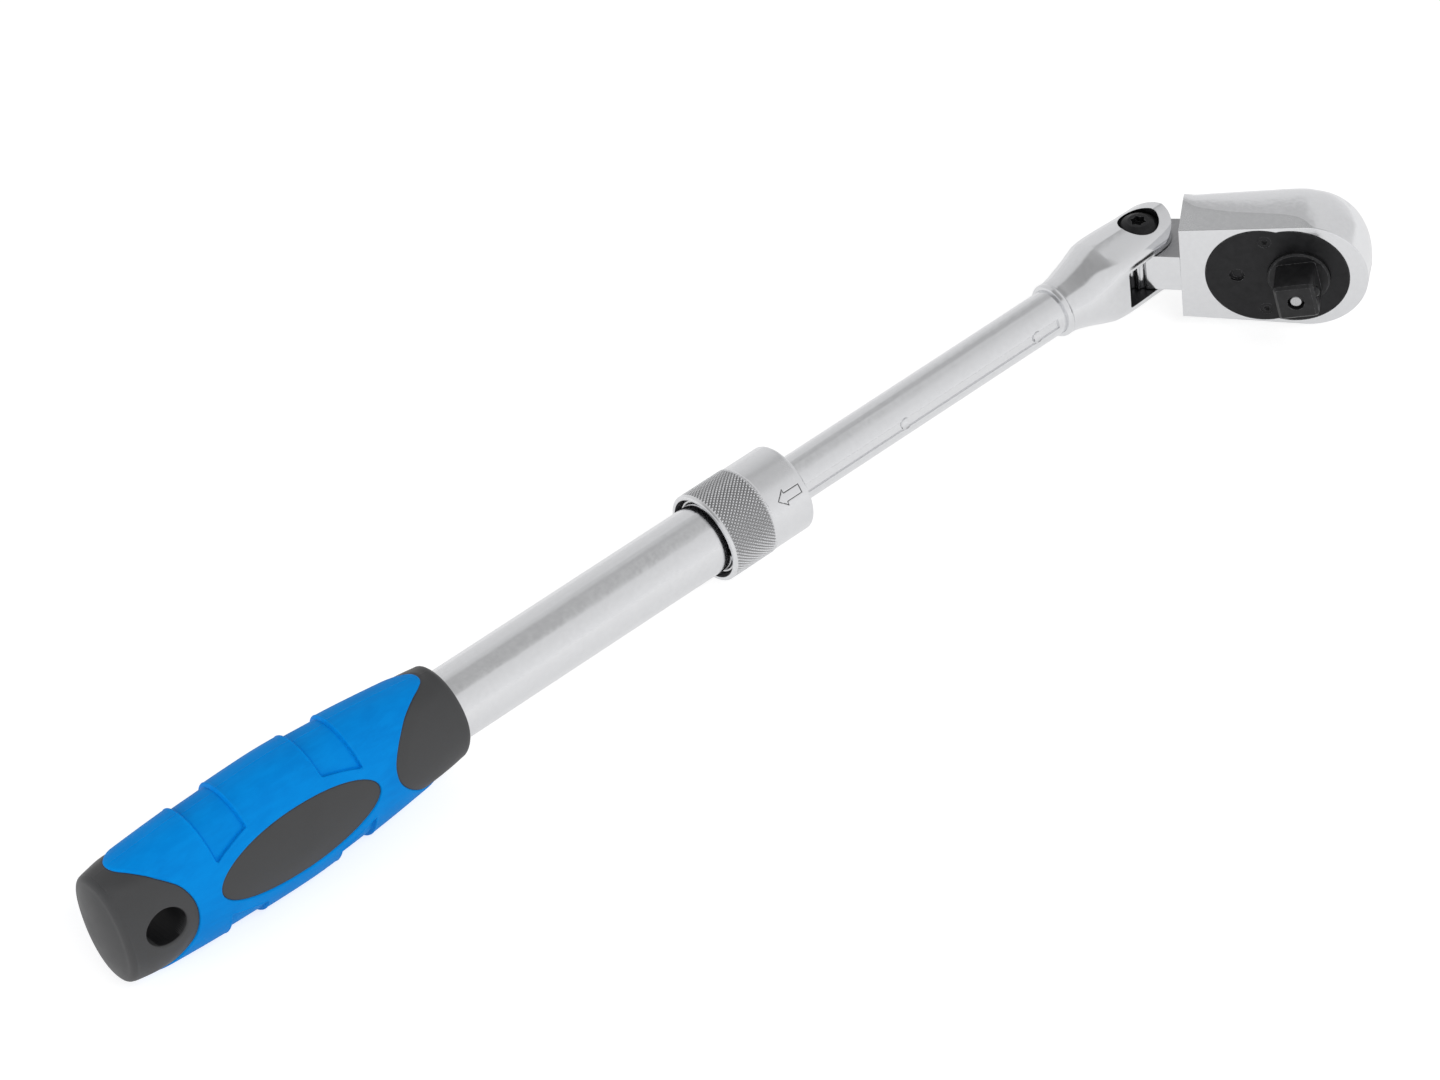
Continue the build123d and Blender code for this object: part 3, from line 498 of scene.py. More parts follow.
def mirror(verts, tris):
    """Adds the mirror image across y = 0, sharing the vertices on it; also gives each twin."""
    count = len(verts)
    image = verts.copy()
    image[:, 1] *= -1
    on_plane = np.abs(verts[:, 1]) < 1e-7
    twin = np.arange(count) + count
    twin[on_plane] = np.arange(count)[on_plane]
    return (np.concatenate([verts, image]), np.concatenate([tris, twin[tris][:, ::-1]]), twin)


def tidy(verts, tris):
    """Drops collapsed triangles and unused vertices."""
    first, second, third = tris.T
    tris = tris[~((first == second) | (second == third) | (first == third))]
    used = np.unique(tris)
    remap = np.full(len(verts), -1)
    remap[used] = np.arange(len(used))
    return verts[used], remap[tris]


def cap_loops(verts, tris):
    """Closes each open loop with a fan to its centre."""
    following = {int(b): int(a) for a, b in open_edges(tris)}
    centres, fans, seen = [], [], set()
    for start in following:
        if start in seen:
            continue
        loop = [start]
        seen.add(start)
        k = following[start]
        while k not in seen and k in following:
            loop.append(k)
            seen.add(k)
            k = following[k]
        centre = len(verts) + len(centres)
        centres.append(verts[loop].mean(0))
        fans += [(loop[i], loop[(i + 1) % len(loop)], centre) for i in range(len(loop))]
    if centres:
        verts = np.concatenate([verts, np.array(centres)])
        tris = np.concatenate([tris, np.array(fans)])
    return verts, tris


# ---------------------------------------------------------------------------
# objects
# ---------------------------------------------------------------------------
def mesh_object(name, verts, faces):
    mesh = bpy.data.meshes.new(name)
    mesh.from_pydata([tuple(map(float, v)) for v in verts], [],
                     [tuple(int(i) for i in f) for f in faces])
    mesh.validate(verbose=False)
    mesh.update()
    ob = bpy.data.objects.new(name, mesh)
    bpy.context.scene.collection.objects.link(ob)
    return ob


def smooth_object(name, verts_mm, faces, material, sharp_deg):
    ob = mesh_object(name, np.asarray(verts_mm, float) / 1000.0, faces)
    ob.data.shade_smooth()
    ob.data.set_sharp_from_angle(angle=radians(sharp_deg))
    ob.data.materials.append(material)
    return ob


def register(ob, body, stands_for):
    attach(ob, body)
    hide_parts(stands_for)
    return ob


def paint(ob, finish, test):
    """Gives the faces picked by test(centre_mm, normal) their own finish."""
    mesh = ob.data
    mesh.materials.append(FINISHES[finish])
    index = len(mesh.materials) - 1
    for face in mesh.polygons:
        centre = tuple(c * 1000 for c in face.center)
        if test(centre, tuple(face.normal)):
            face.material_index = index


# ---------------------------------------------------------------------------
# grip: hard black core and soft blue overmould, from one parametric form.
# Before its turn about X the grip has its half width along z, its half depth across (-y).
# ---------------------------------------------------------------------------
GRIP_TURN = radians(5.5)
SKIN = 2.0                            # overmould thickness
UNDER_GAP = 0.04                      # core surface below the overmould's inside
SQUARENESS = 2.2                      # section exponent; 2 is an ellipse
BODY_X = [-12.2, -7.0, 6.0, 25.0, 48.0, 72.0, 92.0, 104.0, 108.0]
HALF_WIDTH = [18.6, 19.85, 21.1, 22.1, 22.6, 21.2, 18.8, 16.8, 15.9]
HALF_DEPTH = [12.5, 13.3, 14.1, 14.8, 15.1, 14.2, 13.2, 12.6, 12.4]
REAR_X, REAR_DOME = -13.5, 2.3        # rim of the end face, and how far it domes out
REAR_WIDTH, REAR_DEPTH, REAR_ROUND = 18.65, 12.55, 2.1
BODY_START, BODY_END, BODY_STEP = -11.3, 107.9, 0.8
FRONT_X, FRONT_ROUND = 108.0, 2.4
MOUTH_WIDTH, MOUTH_DEPTH, MOUTH_X = 12.25, 11.95, 110.5
TUBE_BORE = 11.33
BORE_X = (110.2, 109.0, 104.0, 94.0, 80.0, 60.0, 40.0, 20.0, 16.0)


def grip_stations():
    """Rows of x, half width, half depth, section exponent, body flag."""
    rows = []
    flat_width, flat_depth = REAR_WIDTH - REAR_ROUND, REAR_DEPTH - REAR_ROUND
    for share in np.linspace(0.0, 1.0, 16)[1:]:                  # domed end face
        rows.append((REAR_X - REAR_DOME * (1 - share * share), flat_width * share,
                     flat_depth * share, SQUARENESS, 0))
    for t in np.linspace(0, pi / 2, 9)[1:]:                      # rounded rear edge
        rows.append((REAR_X + REAR_ROUND * (1 - cos(t)), flat_width + REAR_ROUND * sin(t),
                     flat_depth + REAR_ROUND * sin(t), SQUARENESS, 0))
    for x in np.arange(BODY_START, BODY_END, BODY_STEP):
        rows.append((x, float(pchip(BODY_X, HALF_WIDTH, x)),
                     float(pchip(BODY_X, HALF_DEPTH, x)), SQUARENESS, 1))
    end_width = float(pchip(BODY_X, HALF_WIDTH, BODY_END))
    end_depth = float(pchip(BODY_X, HALF_DEPTH, BODY_END))
    for t in np.linspace(0, pi / 2, 9):                          # rounded front rim
        drop = 1 - cos(t)
        rows.append((FRONT_X + FRONT_ROUND * sin(t), end_width + (MOUTH_WIDTH - end_width) * drop,
                     end_depth + (MOUTH_DEPTH - end_depth) * drop, SQUARENESS - 0.2 * drop, 0))
    for t in (0.3, 0.7, 1.0):                                    # flat lip round the mouth
        rows.append((MOUTH_X, MOUTH_WIDTH - 0.85 * t, MOUTH_DEPTH - 0.55 * t, 2.0, 0))
    rows += [(x, TUBE_BORE, TUBE_BORE, 2.0, 0) for x in BORE_X]
    rows.append((BORE_X[-1], 6.0, 6.0, 2.0, 0))
    return np.array(rows)


STATIONS = grip_stations()


def grip_point(params, inset):
    """Coordinates x, across, z at (station, angle), and whether each is on the body."""
    station, angle = params[:, 0], params[:, 1]
    i = np.clip(np.floor(station).astype(int), 0, len(STATIONS) - 2)
    t = (station - i)[:, None]
    x, width, depth, power, body = (STATIONS[i] * (1 - t) + STATIONS[i + 1] * t).T
    cosine, sine = np.cos(angle), np.sin(angle)
    cosine = np.where(np.abs(cosine) < 1e-12, 0, cosine)
    reach = (np.abs(cosine) ** power + np.abs(sine) ** power) ** (-1 / power)
    shrink = np.where(width > 0.5, 1.0, 0.0)
    z = (width - inset * shrink) * reach * sine
    across = (depth - inset * shrink) * reach * cosine
    return x, across, z, body > 0.5


def place_grip(verts):
    """Turns the grip about X into its place."""
    x, across, z = verts.T
    turned_across = across * cos(GRIP_TURN) - z * sin(GRIP_TURN)
    turned_z = across * sin(GRIP_TURN) + z * cos(GRIP_TURN)
    return np.stack([x, -turned_across, turned_z], 1)


# black zones, seen along the depth as (x, z); half outlines, mirrored in z
REAR_ZONE = [(-9.5, 24.0), (-7.6, 20.4), (-6.7, 19.93), (-5.4, 19.5), (-3.3, 18.75),
             (0.1, 16.8), (2.4, 14.9), (4.9, 12.7), (7.4, 10.0), (9.0, 6.9), (10.0, 3.5),
             (10.35, 0.0)]
FRONT_ZONE = [(107.0, 24.0), (105.6, 17.4), (104.6, 16.75), (101.5, 16.45), (98.0, 16.0),
              (94.6, 15.0), (91.2, 13.3), (87.4, 9.9), (84.9, 6.6), (83.3, 3.2), (82.9, 0.0)]
PAD_X, PAD_LENGTH, PAD_WIDTH = 47.5, 28.8, 11.4     # elliptical pad: centre, half axes
# ends of the recessed panels over the narrow sides, as (x, |z|)
PANELS = [
    np.array([(19.0, 30), (20.2, 9.6), (23.2, 11.05), (26.5, 12.3), (29.8, 13.4), (32.8, 14.2),
              (31.8, 30)]),
    np.array([(59.0, 30), (60.0, 14.1), (63.2, 13.2), (66.5, 12.1), (69.8, 10.8), (72.9, 9.3),
              (70.9, 30)]),
]
HOLE_R = 6.2                          # hole through the depth near the rear, at x = 0
HOLE_REAR_SQUEEZE = 0.91              # draws the hole out a little towards the rear
HOLE_RINGS = 7
GRIP_SECTORS = 84                     # round half the grip
# levels at which each distance field cuts the mesh, in cutting order
SPLIT_LEVELS = {
    "hole": (0.0, 0.06, 0.16, 0.32, 0.6),
    "zone": (0.0, 0.1, 0.25, 0.45, -0.12, -0.35, -0.8),
    "panel": (0.85, 0.6, 0.42, 0.24, 0.1, -0.02, -0.14, -0.28, -0.42, -0.58, -0.8),
    "seam": (0.18, 0.4, 0.8),
}


def pad_ellipse(x, z):
    """Below 1 inside the pad."""
    return ((x - PAD_X) / PAD_LENGTH) ** 2 + (z / PAD_WIDTH) ** 2


def grip_fields(params):
    """Distances to the features: negative inside black zones, panels and the hole."""
    x, across, z, body = grip_point(params, 0.0)
    zone = np.full(len(x), -5.0)
    points = np.stack([x, z], 1)[body]
    rear, front = (curve_through(half + [(a, -b) for a, b in half[-2::-1]])
                   for half in (REAR_ZONE, FRONT_ZONE))
    angles = np.linspace(0, 2 * pi, 181)[:-1]
    pad = np.stack([PAD_X + PAD_LENGTH * np.cos(angles), PAD_WIDTH * np.sin(angles)], 1)
    to_rear = signed(line_distance(points, rear), beyond_line(points, rear, -1))
    to_front = signed(line_distance(points, front), beyond_line(points, front, 1))
    to_pad = signed(line_distance(points, pad, closed=True), pad_ellipse(*points.T) < 1)
    zone[body] = np.minimum(np.minimum(to_rear, to_front), to_pad)
    folded = np.stack([x, np.abs(z)], 1)
    panels = [signed(line_distance(folded, outline, closed=True), in_polygon(folded, outline))
              for outline in PANELS]
    hole = np.hypot(np.where(x < 0, x * HOLE_REAR_SQUEEZE, x), z) - HOLE_R
    return {"zone": zone, "panel": np.where(body, np.minimum(*panels), 5.0),
            "hole": np.where(body, hole, 9.0), "seam": np.abs(across)}


def grip_surface():
    """The half form from seam to seam, cut along every feature line."""
    count = len(STATIONS)
    angles = np.linspace(-pi / 2, pi / 2, GRIP_SECTORS + 1)
    station, angle = np.meshgrid(np.arange(count, dtype=float), angles, indexing="ij")
    params = np.stack([station.ravel(), angle.ravel()], 1)
    grid = np.arange(count * (GRIP_SECTORS + 1)).reshape(count, GRIP_SECTORS + 1)
    quads = np.stack([grid[:-1, :-1], grid[1:, :-1], grid[1:, 1:], grid[:-1, 1:]], -1)
    quads = quads.reshape(-1, 4)
    odd = (np.add.outer(np.arange(count - 1), np.arange(GRIP_SECTORS)) % 2).ravel().astype(bool)
    odd = odd[:, None]
    tris = np.concatenate([np.where(odd, quads[:, [0, 1, 2]], quads[:, [0, 1, 3]]),
                           np.where(odd, quads[:, [0, 2, 3]], quads[:, [1, 2, 3]])])
    fields = grip_fields(params)
    for key, levels in SPLIT_LEVELS.items():
        for level in levels:
            params, tris = split_at_level(params, fields, tris, key, level)
    return params, fields, tris


def overmould_inset(fields):
    """Depth below the plain form: rounded edges, recessed panels, raised seam line."""
    zone, panel = fields["zone"], fields["panel"]
    recess = 1.0 * smooth01(-(panel - 0.1) / 0.4)
    foot = 0.16 * bell(panel, -0.42, 0.16)
    lip = 0.14 * bell(panel, 0.42, 0.22) * (panel > -0.1)
    seam = 0.16 * bell(fields["seam"], 0, 0.22) * smooth01(zone / 1.2)
    return edge_round(zone, 0.45) + recess + foot - lip - seam


def core_inset(params, fields):
    """Depth below the plain form: crowned zones, a groove at their edge, rounded hole."""
    x, across, z, body = grip_point(params, 0.0)
    away = np.clip(-fields["zone"], 0, 30)
    crown = np.where(pad_ellipse(x, z) < 1.02, 0.34 - 0.22 * smooth01(away / 9.0),
                     0.34 - 0.34 * smooth01(away / 4.0))
    groove = 0.22 * (1 - smooth01(away / 0.35))
    # the cap is drawn in a little between its end face and the hole
    waist = 0.45 * bell(x, -8.6, 2.6) * smooth01((np.abs(across) - 4) / 8)
    seam = 0.04 * bell(fields["seam"], 0, 0.3)
    inset = crown + groove + edge_round(fields["hole"], 0.6) + waist - seam
    return np.where(body, inset, 0.0)


def layers(params, parts):
    """Stacks (faces, inset) copies of the surface into one mesh."""
    verts = [np.stack(grip_point(params, inset)[:3], 1) for _, inset in parts]
    tris = [faces + k * len(params) for k, (faces, _) in enumerate(parts)]
    return np.concatenate(verts), np.concatenate(tris)


def rim_walls(rim, top, bottom):
    """Walls between two layers; top and bottom are the layers' first vertices."""
    a, b = rim.T
    return np.concatenate([np.stack([b + top, a + top, a + bottom], 1),
                           np.stack([b + top, a + bottom, b + bottom], 1)])


def core_form(half, half_tris, hole_rim):
    """Mirrors the half core, adds the hole's wall in rings across, and closes the ends."""
    verts, tris, twin = mirror(half, half_tris)
    ids = np.unique(hole_rim)
    rim_x, rim_across, rim_z = half[ids].T
    rows = [ids]
    for k in range(1, HOLE_RINGS + 1):
        ring = np.stack([rim_x, rim_across * (1 - 2 * (k / (HOLE_RINGS + 1))), rim_z], 1)
        rows.append(np.arange(len(verts), len(verts) + len(ids)))
        verts = np.concatenate([verts, ring])
    rows.append(twin[ids])
    wall = []
    for i, j in np.searchsorted(ids, hole_rim):
        for near, far in zip(rows[:-1], rows[1:]):
            wall += [(near[j], near[i], far[i]), (near[j], far[i], far[j])]
    return cap_loops(*tidy(verts, np.concatenate([tris, np.array(wall)])))


def in_grip_hole(centre, _):
    x, y, z = centre
    return hypot(x, z * cos(GRIP_TURN) + y * sin(GRIP_TURN)) < 6.3 and abs(y) < 12.4


def grip_pieces():
    params, fields, tris = grip_surface()
    count = len(params)
    blue = fields["zone"][tris].mean(1) > 0
    hole = fields["hole"][tris].mean(1) < 0
    covered = tris[blue]
    exposed = tris[(~blue) & (~hole)]
    rim = open_edges(covered)
    across = grip_point(params, 0.0)[1]
    rim = rim[~(np.abs(across[rim]) < 1e-7).all(axis=1)]

    half, half_tris = layers(params, [(exposed, core_inset(params, fields)),
                                      (covered, np.full(count, SKIN + UNDER_GAP))])
    half_tris = np.concatenate([half_tris, rim_walls(rim, top=count, bottom=0)])
    hole_rim = open_edges(exposed)
    hole_rim = hole_rim[(np.abs(fields["hole"][hole_rim]) < 1e-9).all(axis=1)]
    verts, faces = core_form(half, half_tris, hole_rim)
    core = smooth_object("grip_core_form", place_grip(verts), faces, FINISHES["black_grip"], 42)
    register(core, "handle", "grip_core")
    # the hole's wall gets the darker plastic, as painted shade
    paint(core, "hole_painted_shade", in_grip_hole)

    half, half_tris = layers(params, [(covered, overmould_inset(fields)),
                                      (covered[:, ::-1], np.full(count, SKIN))])
    half_tris = np.concatenate([half_tris, rim_walls(rim, top=0, bottom=count)])
    verts, faces = tidy(*mirror(half, half_tris)[:2])
    sleeve = smooth_object("grip_overmould", place_grip(verts), faces, FINISHES["blue_grip"], 46)
    register(sleeve, "handle", "grip_sleeve")


grip_pieces()


# ---------------------------------------------------------------------------
# lock collar: diamond knurl cut into the rear part, an engraved arrow on the front part
# ---------------------------------------------------------------------------
COLLAR_REAR, COLLAR_FRONT = 211.0, 243.2
COLLAR_R = 14.7
FRONT_STEP = 0.25                     # the front part is this much lower
KNURL_START, KNURL_END = 212.0, 227.9
KNURL_PITCH = 1.5                     # diamond length along x
DIAMONDS = 72                         # round the collar
DIAMOND_STEPS = 8
KNURL_DEPTH = 0.52
COLLAR_BORE, COUNTERBORE = 10.97, 12.75
# inside outline (x, radius), front to rear
COLLAR_INSIDE = [
    (COLLAR_FRONT, 11.75), (243.0, 11.45), (242.6, COLLAR_BORE), (238.0, COLLAR_BORE),
    (237.6, 10.98), (237.6, 12.67), (229.1, COLLAR_BORE), (228.0, COLLAR_BORE),
    (227.0, COLLAR_BORE), (227.0, COUNTERBORE), (224.0, COUNTERBORE), (218.0, COUNTERBORE),
    (211.7, COUNTERBORE), (211.25, 13.1), (COLLAR_REAR, 13.35)]
ARROW_ANGLE = radians(55.0)           # from +Z towards -Y
ARROW_TIP, ARROW_LENGTH, ARROW_HALF = 231.9, 8.6, 1.5
ARROW_HEAD, ARROW_HEAD_HALF = 2.9, 2.75
ARROW_DEPTH, ARROW_LINE = 0.2, 0.27   # engraved depth, half width of the line


def lathe(rings):
    """Faces between successive rings of vertex indices, each closed round."""
    faces = []
    for a, b in zip(rings[:-1], rings[1:]):
        faces.append(np.stack([a, b, np.roll(b, -1), np.roll(a, -1)], 1))
    return np.concatenate(faces)


def knurl_height(x, angles, end):
    def wave(t):
        return np.abs(2 * (t - np.floor(t)) - 1)

    around = DIAMONDS * angles / (2 * pi)
    along = (x - KNURL_START) / KNURL_PITCH
    ridge = np.minimum(wave(around + along), wave(around - along))
    fade = smooth01(min(x - KNURL_START, end - x) / 0.7 + 0.15)
    return -KNURL_DEPTH * (1 - smooth01(ridge * 1.25)) * fade


def arrow_height(x, angles):
    """Groove along the arrow's outline, which points to the rear."""
    neck, end = ARROW_TIP + ARROW_HEAD, ARROW_TIP + ARROW_LENGTH
    outline = np.array([(ARROW_TIP, 0), (neck, ARROW_HEAD_HALF), (neck, ARROW_HALF),
                        (end, ARROW_HALF), (end, -ARROW_HALF), (neck, -ARROW_HALF),
                        (neck, -ARROW_HEAD_HALF)])
    around = ((2 * pi - ARROW_ANGLE) - angles) * COLLAR_R
    near = np.abs(around) < 6
    points = np.stack([np.full(int(near.sum()), x), around[near]], 1)
    height = np.zeros(len(angles))
    distance = line_distance(points, outline, closed=True)
    height[near] = -ARROW_DEPTH * (1 - smooth01(distance / ARROW_LINE))
    return height


def collar_piece():
    sectors = DIAMONDS * DIAMOND_STEPS
    step = KNURL_PITCH / DIAMOND_STEPS
    low_r = COLLAR_R - FRONT_STEP
    rear_edge = [(COLLAR_REAR, 13.5)]
    rear_edge += arc_points((211.65, COLLAR_R - 0.65), 0.65, 180, 90, 7)[1:]
    rear_edge += [(211.8, COLLAR_R), (211.95, COLLAR_R)]
    knurl = [(KNURL_START + step * i, COLLAR_R)
             for i in range(int((KNURL_END - KNURL_START) / step) + 1)]
    end = knurl[-1][0]
    shoulder = [(end + 0.15, COLLAR_R - 0.06), (end + 0.32, COLLAR_R - 0.2),
                (end + 0.5, COLLAR_R - 0.26), (end + 0.8, low_r)]
    front_part = [(x, low_r) for x in np.arange(end + 1.1, 241.9, 0.16)]
    front_edge = [(242.0, low_r)] + arc_points((242.05, COLLAR_R - 1.4), 1.15, 90, 0, 8)[1:]

    angles = np.linspace(0, 2 * pi, sectors, endpoint=False)
    radii = []
    for part in (rear_edge, knurl, shoulder, front_part, front_edge, COLLAR_INSIDE):
        for x, radius in part:
            height = 0.0
            if part is knurl:
                height = knurl_height(x, angles, end)
            elif part is front_part:
                height = arrow_height(x, angles)
            radii.append((x, np.full(sectors, radius, float) + height))
    verts = [np.stack([np.full(sectors, x), r * np.sin(angles), r * np.cos(angles)], 1)
             for x, r in radii]
    rings = list(np.arange(len(radii) * sectors).reshape(-1, sectors))
    rings.append(rings[0])
    ob = smooth_object("lock_collar_form", np.concatenate(verts), lathe(rings),
                       FINISHES["chrome_collar"], 50)
    return register(ob, "collar", "lock_collar")


def in_arrow(centre, _):
    x, y, z = centre
    return 231.5 < x < 241.6 and COLLAR_R - 0.5 < hypot(y, z) < COLLAR_R - 0.33


def in_knurl(centre, _):
    x, y, z = centre
    return (KNURL_START < x < KNURL_END - 0.2
            and COLLAR_R - 0.6 < hypot(y, z) < COLLAR_R - 0.36)


def in_collar_bore(centre, _):
    x, y, z = centre
    return x < 229.5 and hypot(y, z) < 13.3


collar = collar_piece()
paint(collar, "groove_shade", in_arrow)
paint(collar, "knurl_shade", in_knurl)
# the collar's bore gets near-black steel, as painted shade
paint(collar, "bore_painted_shade", in_collar_bore)


# ---------------------------------------------------------------------------
# solid kit: closed meshes in millimetres, joined and cut
# ---------------------------------------------------------------------------
ALONG_X, ALONG_Y, ALONG_Z = (1, 0, 0), (0, 1, 0), (0, 0, 1)


def boolean(base, cutter, operation):
    modifier = base.modifiers.new("cut", "BOOLEAN")
    modifier.operation = operation
    modifier.object = cutter
    modifier.solver = "EXACT"
    depsgraph = bpy.context.evaluated_depsgraph_get()
    depsgraph.update()
    mesh = bpy.data.meshes.new_from_object(base.evaluated_get(depsgraph))
    base.modifiers.clear()
    spent = [base.data, cutter.data]
    base.data = mesh
    bpy.data.objects.remove(cutter)
    for old in spent:
        bpy.data.meshes.remove(old)


def cut(base, shape, operation="DIFFERENCE"):
    boolean(base, mesh_object("cutter", *shape), operation)


def turned(profile, origin, axis, segments):
    """Closed solid of revolution: profile is (height, radius) from axis to axis."""
    axis = np.array(axis, float) / np.linalg.norm(axis)
    side = np.array([1.0, 0, 0]) if abs(axis[0]) < 0.9 else np.array([0, 1.0, 0])
    side = side - axis * (side @ axis)
    side /= np.linalg.norm(side)
    other = np.cross(axis, side)
    origin = np.array(origin, float)
    verts, faces, rings = [], [], []
    for height, radius in profile:
        centre = origin + axis * height
        if radius < 1e-9:
            rings.append([len(verts)])
            verts.append(centre)
            continue
        rings.append(list(range(len(verts), len(verts) + segments)))
        for k in range(segments):
            t = 2 * pi * k / segments
            verts.append(centre + radius * (side * cos(t) + other * sin(t)))
    for a, b in zip(rings[:-1], rings[1:]):
        for k in range(segments):
            j = (k + 1) % segments
            if len(a) == 1:
                faces.append((a[0], b[j], b[k]))
            elif len(b) == 1:
                faces.append((a[k], a[j], b[0]))
            else:
                faces.append((a[k], a[j], b[j], b[k]))
    return np.array(verts), faces


def barrel(axis, radius, span, segments, origin=(0, 0, 0)):
    low, high = span
    profile = [(low, 0), (low, radius), (high, radius), (high, 0)]
    return turned(profile, origin, axis, segments)


def skin_rings(rings):
    """Faces of a closed stack of equal rings, flat at both ends."""
    faces = [tuple(rings[0][::-1]), tuple(rings[-1])]
    for a, b in zip(rings[:-1], rings[1:]):
        count = len(a)
        faces += [(a[i], a[(i + 1) % count], b[(i + 1) % count], b[i]) for i in range(count)]
    return faces


def prism(points, low, high, place=lambda x, y, z: (x, y, z)):
    """Closed prism over a plane outline; place maps (x, y, height) to the working space."""
    count = len(points)
    verts = [place(x, y, height) for height in (low, high) for x, y in points]
    return np.array(verts), skin_rings([range(count), range(count, 2 * count)])


def with_bmesh(ob, work):
    bm = bmesh.new()
    bm.from_mesh(ob.data)
    work(bm)
    bmesh.ops.recalc_face_normals(bm, faces=bm.faces)
    bm.to_mesh(ob.data)
    bm.free()


def solid_object(name, verts, faces):
    """A work solid with its doubles merged and its normals outwards."""
    ob = mesh_object(name, verts, faces)
    with_bmesh(ob, lambda bm: bmesh.ops.remove_doubles(bm, verts=bm.verts, dist=1e-5))
    ob.data.update()
    return ob


def clean_cuts(bm):
    bmesh.ops.remove_doubles(bm, verts=bm.verts, dist=0.003)
    bmesh.ops.dissolve_degenerate(bm, edges=bm.edges, dist=0.002)
    bmesh.ops.holes_fill(bm, edges=[e for e in bm.edges if e.is_boundary], sides=8)


def finish_forging(ob, name, body, stands_for, sharp_deg, place=lambda verts: verts):
    """Cleans a cut solid, moves it to its place in metres and registers it."""
    with_bmesh(ob, clean_cuts)
    mesh = ob.data
    coords = np.empty(len(mesh.vertices) * 3)
    mesh.vertices.foreach_get("co", coords)
    coords = place(coords.reshape(-1, 3))
    mesh.vertices.foreach_set("co", (coords / 1000.0).ravel())
    mesh.materials.clear()
    mesh.materials.append(FINISHES["chrome_forging"])
    mesh.shade_smooth()
    mesh.set_sharp_from_angle(angle=radians(sharp_deg))
    mesh.update()
    ob.name = name
    mesh.name = name
    return register(ob, body, stands_for)


# ---------------------------------------------------------------------------
# springs and wire ring
# ---------------------------------------------------------------------------
def sweep(path, outward, radius, segments):
    """A round wire along an open path; outward holds one sideways direction per point."""
    tangents = np.gradient(path, axis=0)
    tangents /= np.linalg.norm(tangents, axis=1)[:, None]
    verts = []
    for point, out, tangent in zip(path, outward, tangents):
        out = out - tangent * (out @ tangent)
        out /= np.linalg.norm(out)
        other = np.cross(tangent, out)
        for k in range(segments):
            t = 2 * pi * k / segments
            verts.append(point + radius * (cos(t) * out + sin(t) * other))
    rings = np.arange(len(verts)).reshape(-1, segments)
    ends, sides = skin_rings([rings[0], rings[-1]])[:2], []
    for a, b in zip(rings[:-1], rings[1:]):
        for k in range(segments):
            m = (k + 1) % segments
            sides.append((a[k], a[m], b[m], b[k]))
    return np.array(verts), sides + ends


def spring_piece(part, origin, axis, radius, length, turns, wire):
    """A fixed coil of round wire, wound from origin along the axis over the given length."""
    origin, axis, side = (np.array(v, float) for v in (origin, axis, ALONG_Z))
    other = np.cross(axis, side)
    steps = int(turns * 40)
    path = []
    for i in range(steps + 1):
        t = 2 * pi * turns * i / steps
        path.append(origin + axis * length * i / steps + radius * (cos(t) * side + sin(t) * other))
    outward = [p - origin - axis * ((p - origin) @ axis) for p in path]
    verts, faces = sweep(np.array(path), outward, radius=wire / 2, segments=12)
    ob = smooth_object(part + "_form", verts, faces, FINISHES["spring_steel"], 50)
    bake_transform(ob)
    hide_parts(part)


def wire_ring_piece():
    """Open ring inside the collar, its gap towards -Y."""
    x, radius, half_gap = 213.1, 12.05, 0.133
    path = np.array([(x, radius * cos(t), radius * sin(t))
                     for t in np.linspace(-pi + half_gap, pi - half_gap, 141)])
    verts, faces = sweep(path, path - path.mean(0), radius=0.6, segments=14)
    # the ring's lightened steel is painted light on the shaded wire
    ob = smooth_object("collar_wire_ring", verts, faces, FINISHES["wire_painted_light"], 60)
    register(ob, "handle", "spring_ring")


spring_piece("collar_spring", origin=(215.1, 0, 0), axis=ALONG_X, radius=12.05, length=11.35,
             turns=4.0, wire=0.8)
spring_piece("detent_spring", origin=(370.4, 0, 0), axis=ALONG_X, radius=1.78, length=6.17,
             turns=6.0, wire=0.55)
spring_piece("release_spring", origin=DRIVE_CENTRE + HEAD_Z * 0.45, axis=-HEAD_Z, radius=4.8,
             length=6.9, turns=4.0, wire=0.8)
wire_ring_piece()


# ---------------------------------------------------------------------------
# flex fork: collared socket, swelling neck, crowned ears
# ---------------------------------------------------------------------------
EAR_R = 10.4
SLOT_FLOOR = PIVOT_X - 15.4
SLOT_HALF = 6.95
FORK_SECTORS = 240
# round rear part: x, radius
SOCKET = [(355.3, 7.62), (355.3, 8.35), (355.45, 8.7), (355.8, 8.93), (356.3, 9.05),
          (356.9, 9.05), (357.25, 8.92), (357.45, 8.68), (357.62, 8.56), (357.85, 8.62),
          (358.1, 8.85), (358.5, 9.0), (359.5, 9.12)]
# x, half height (z), half width (y), section exponents of y and of z
NECK = np.array([
    (359.5, 9.12, 9.12, 2.0, 2.0), (361.5, 9.5, 9.5, 2.0, 2.0), (364.7, 10.45, 10.3, 2.0, 2.03),
    (368.9, 12.15, 10.95, 1.9, 2.3), (372.0, 13.3, 11.25, 1.6, 3.2),
    (375.2, 13.95, 11.4, 1.25, 4.8), (378.5, 14.0, 11.4, 1.05, 5.8),
    (386.0, 14.0, 11.15, 1.02, 6.1), (392.0, 14.0, 10.8, 1.02, 6.1),
    (397.0, 14.0, 10.7, 1.02, 6.1), (408.0, 14.0, 10.7, 1.02, 6.1)])


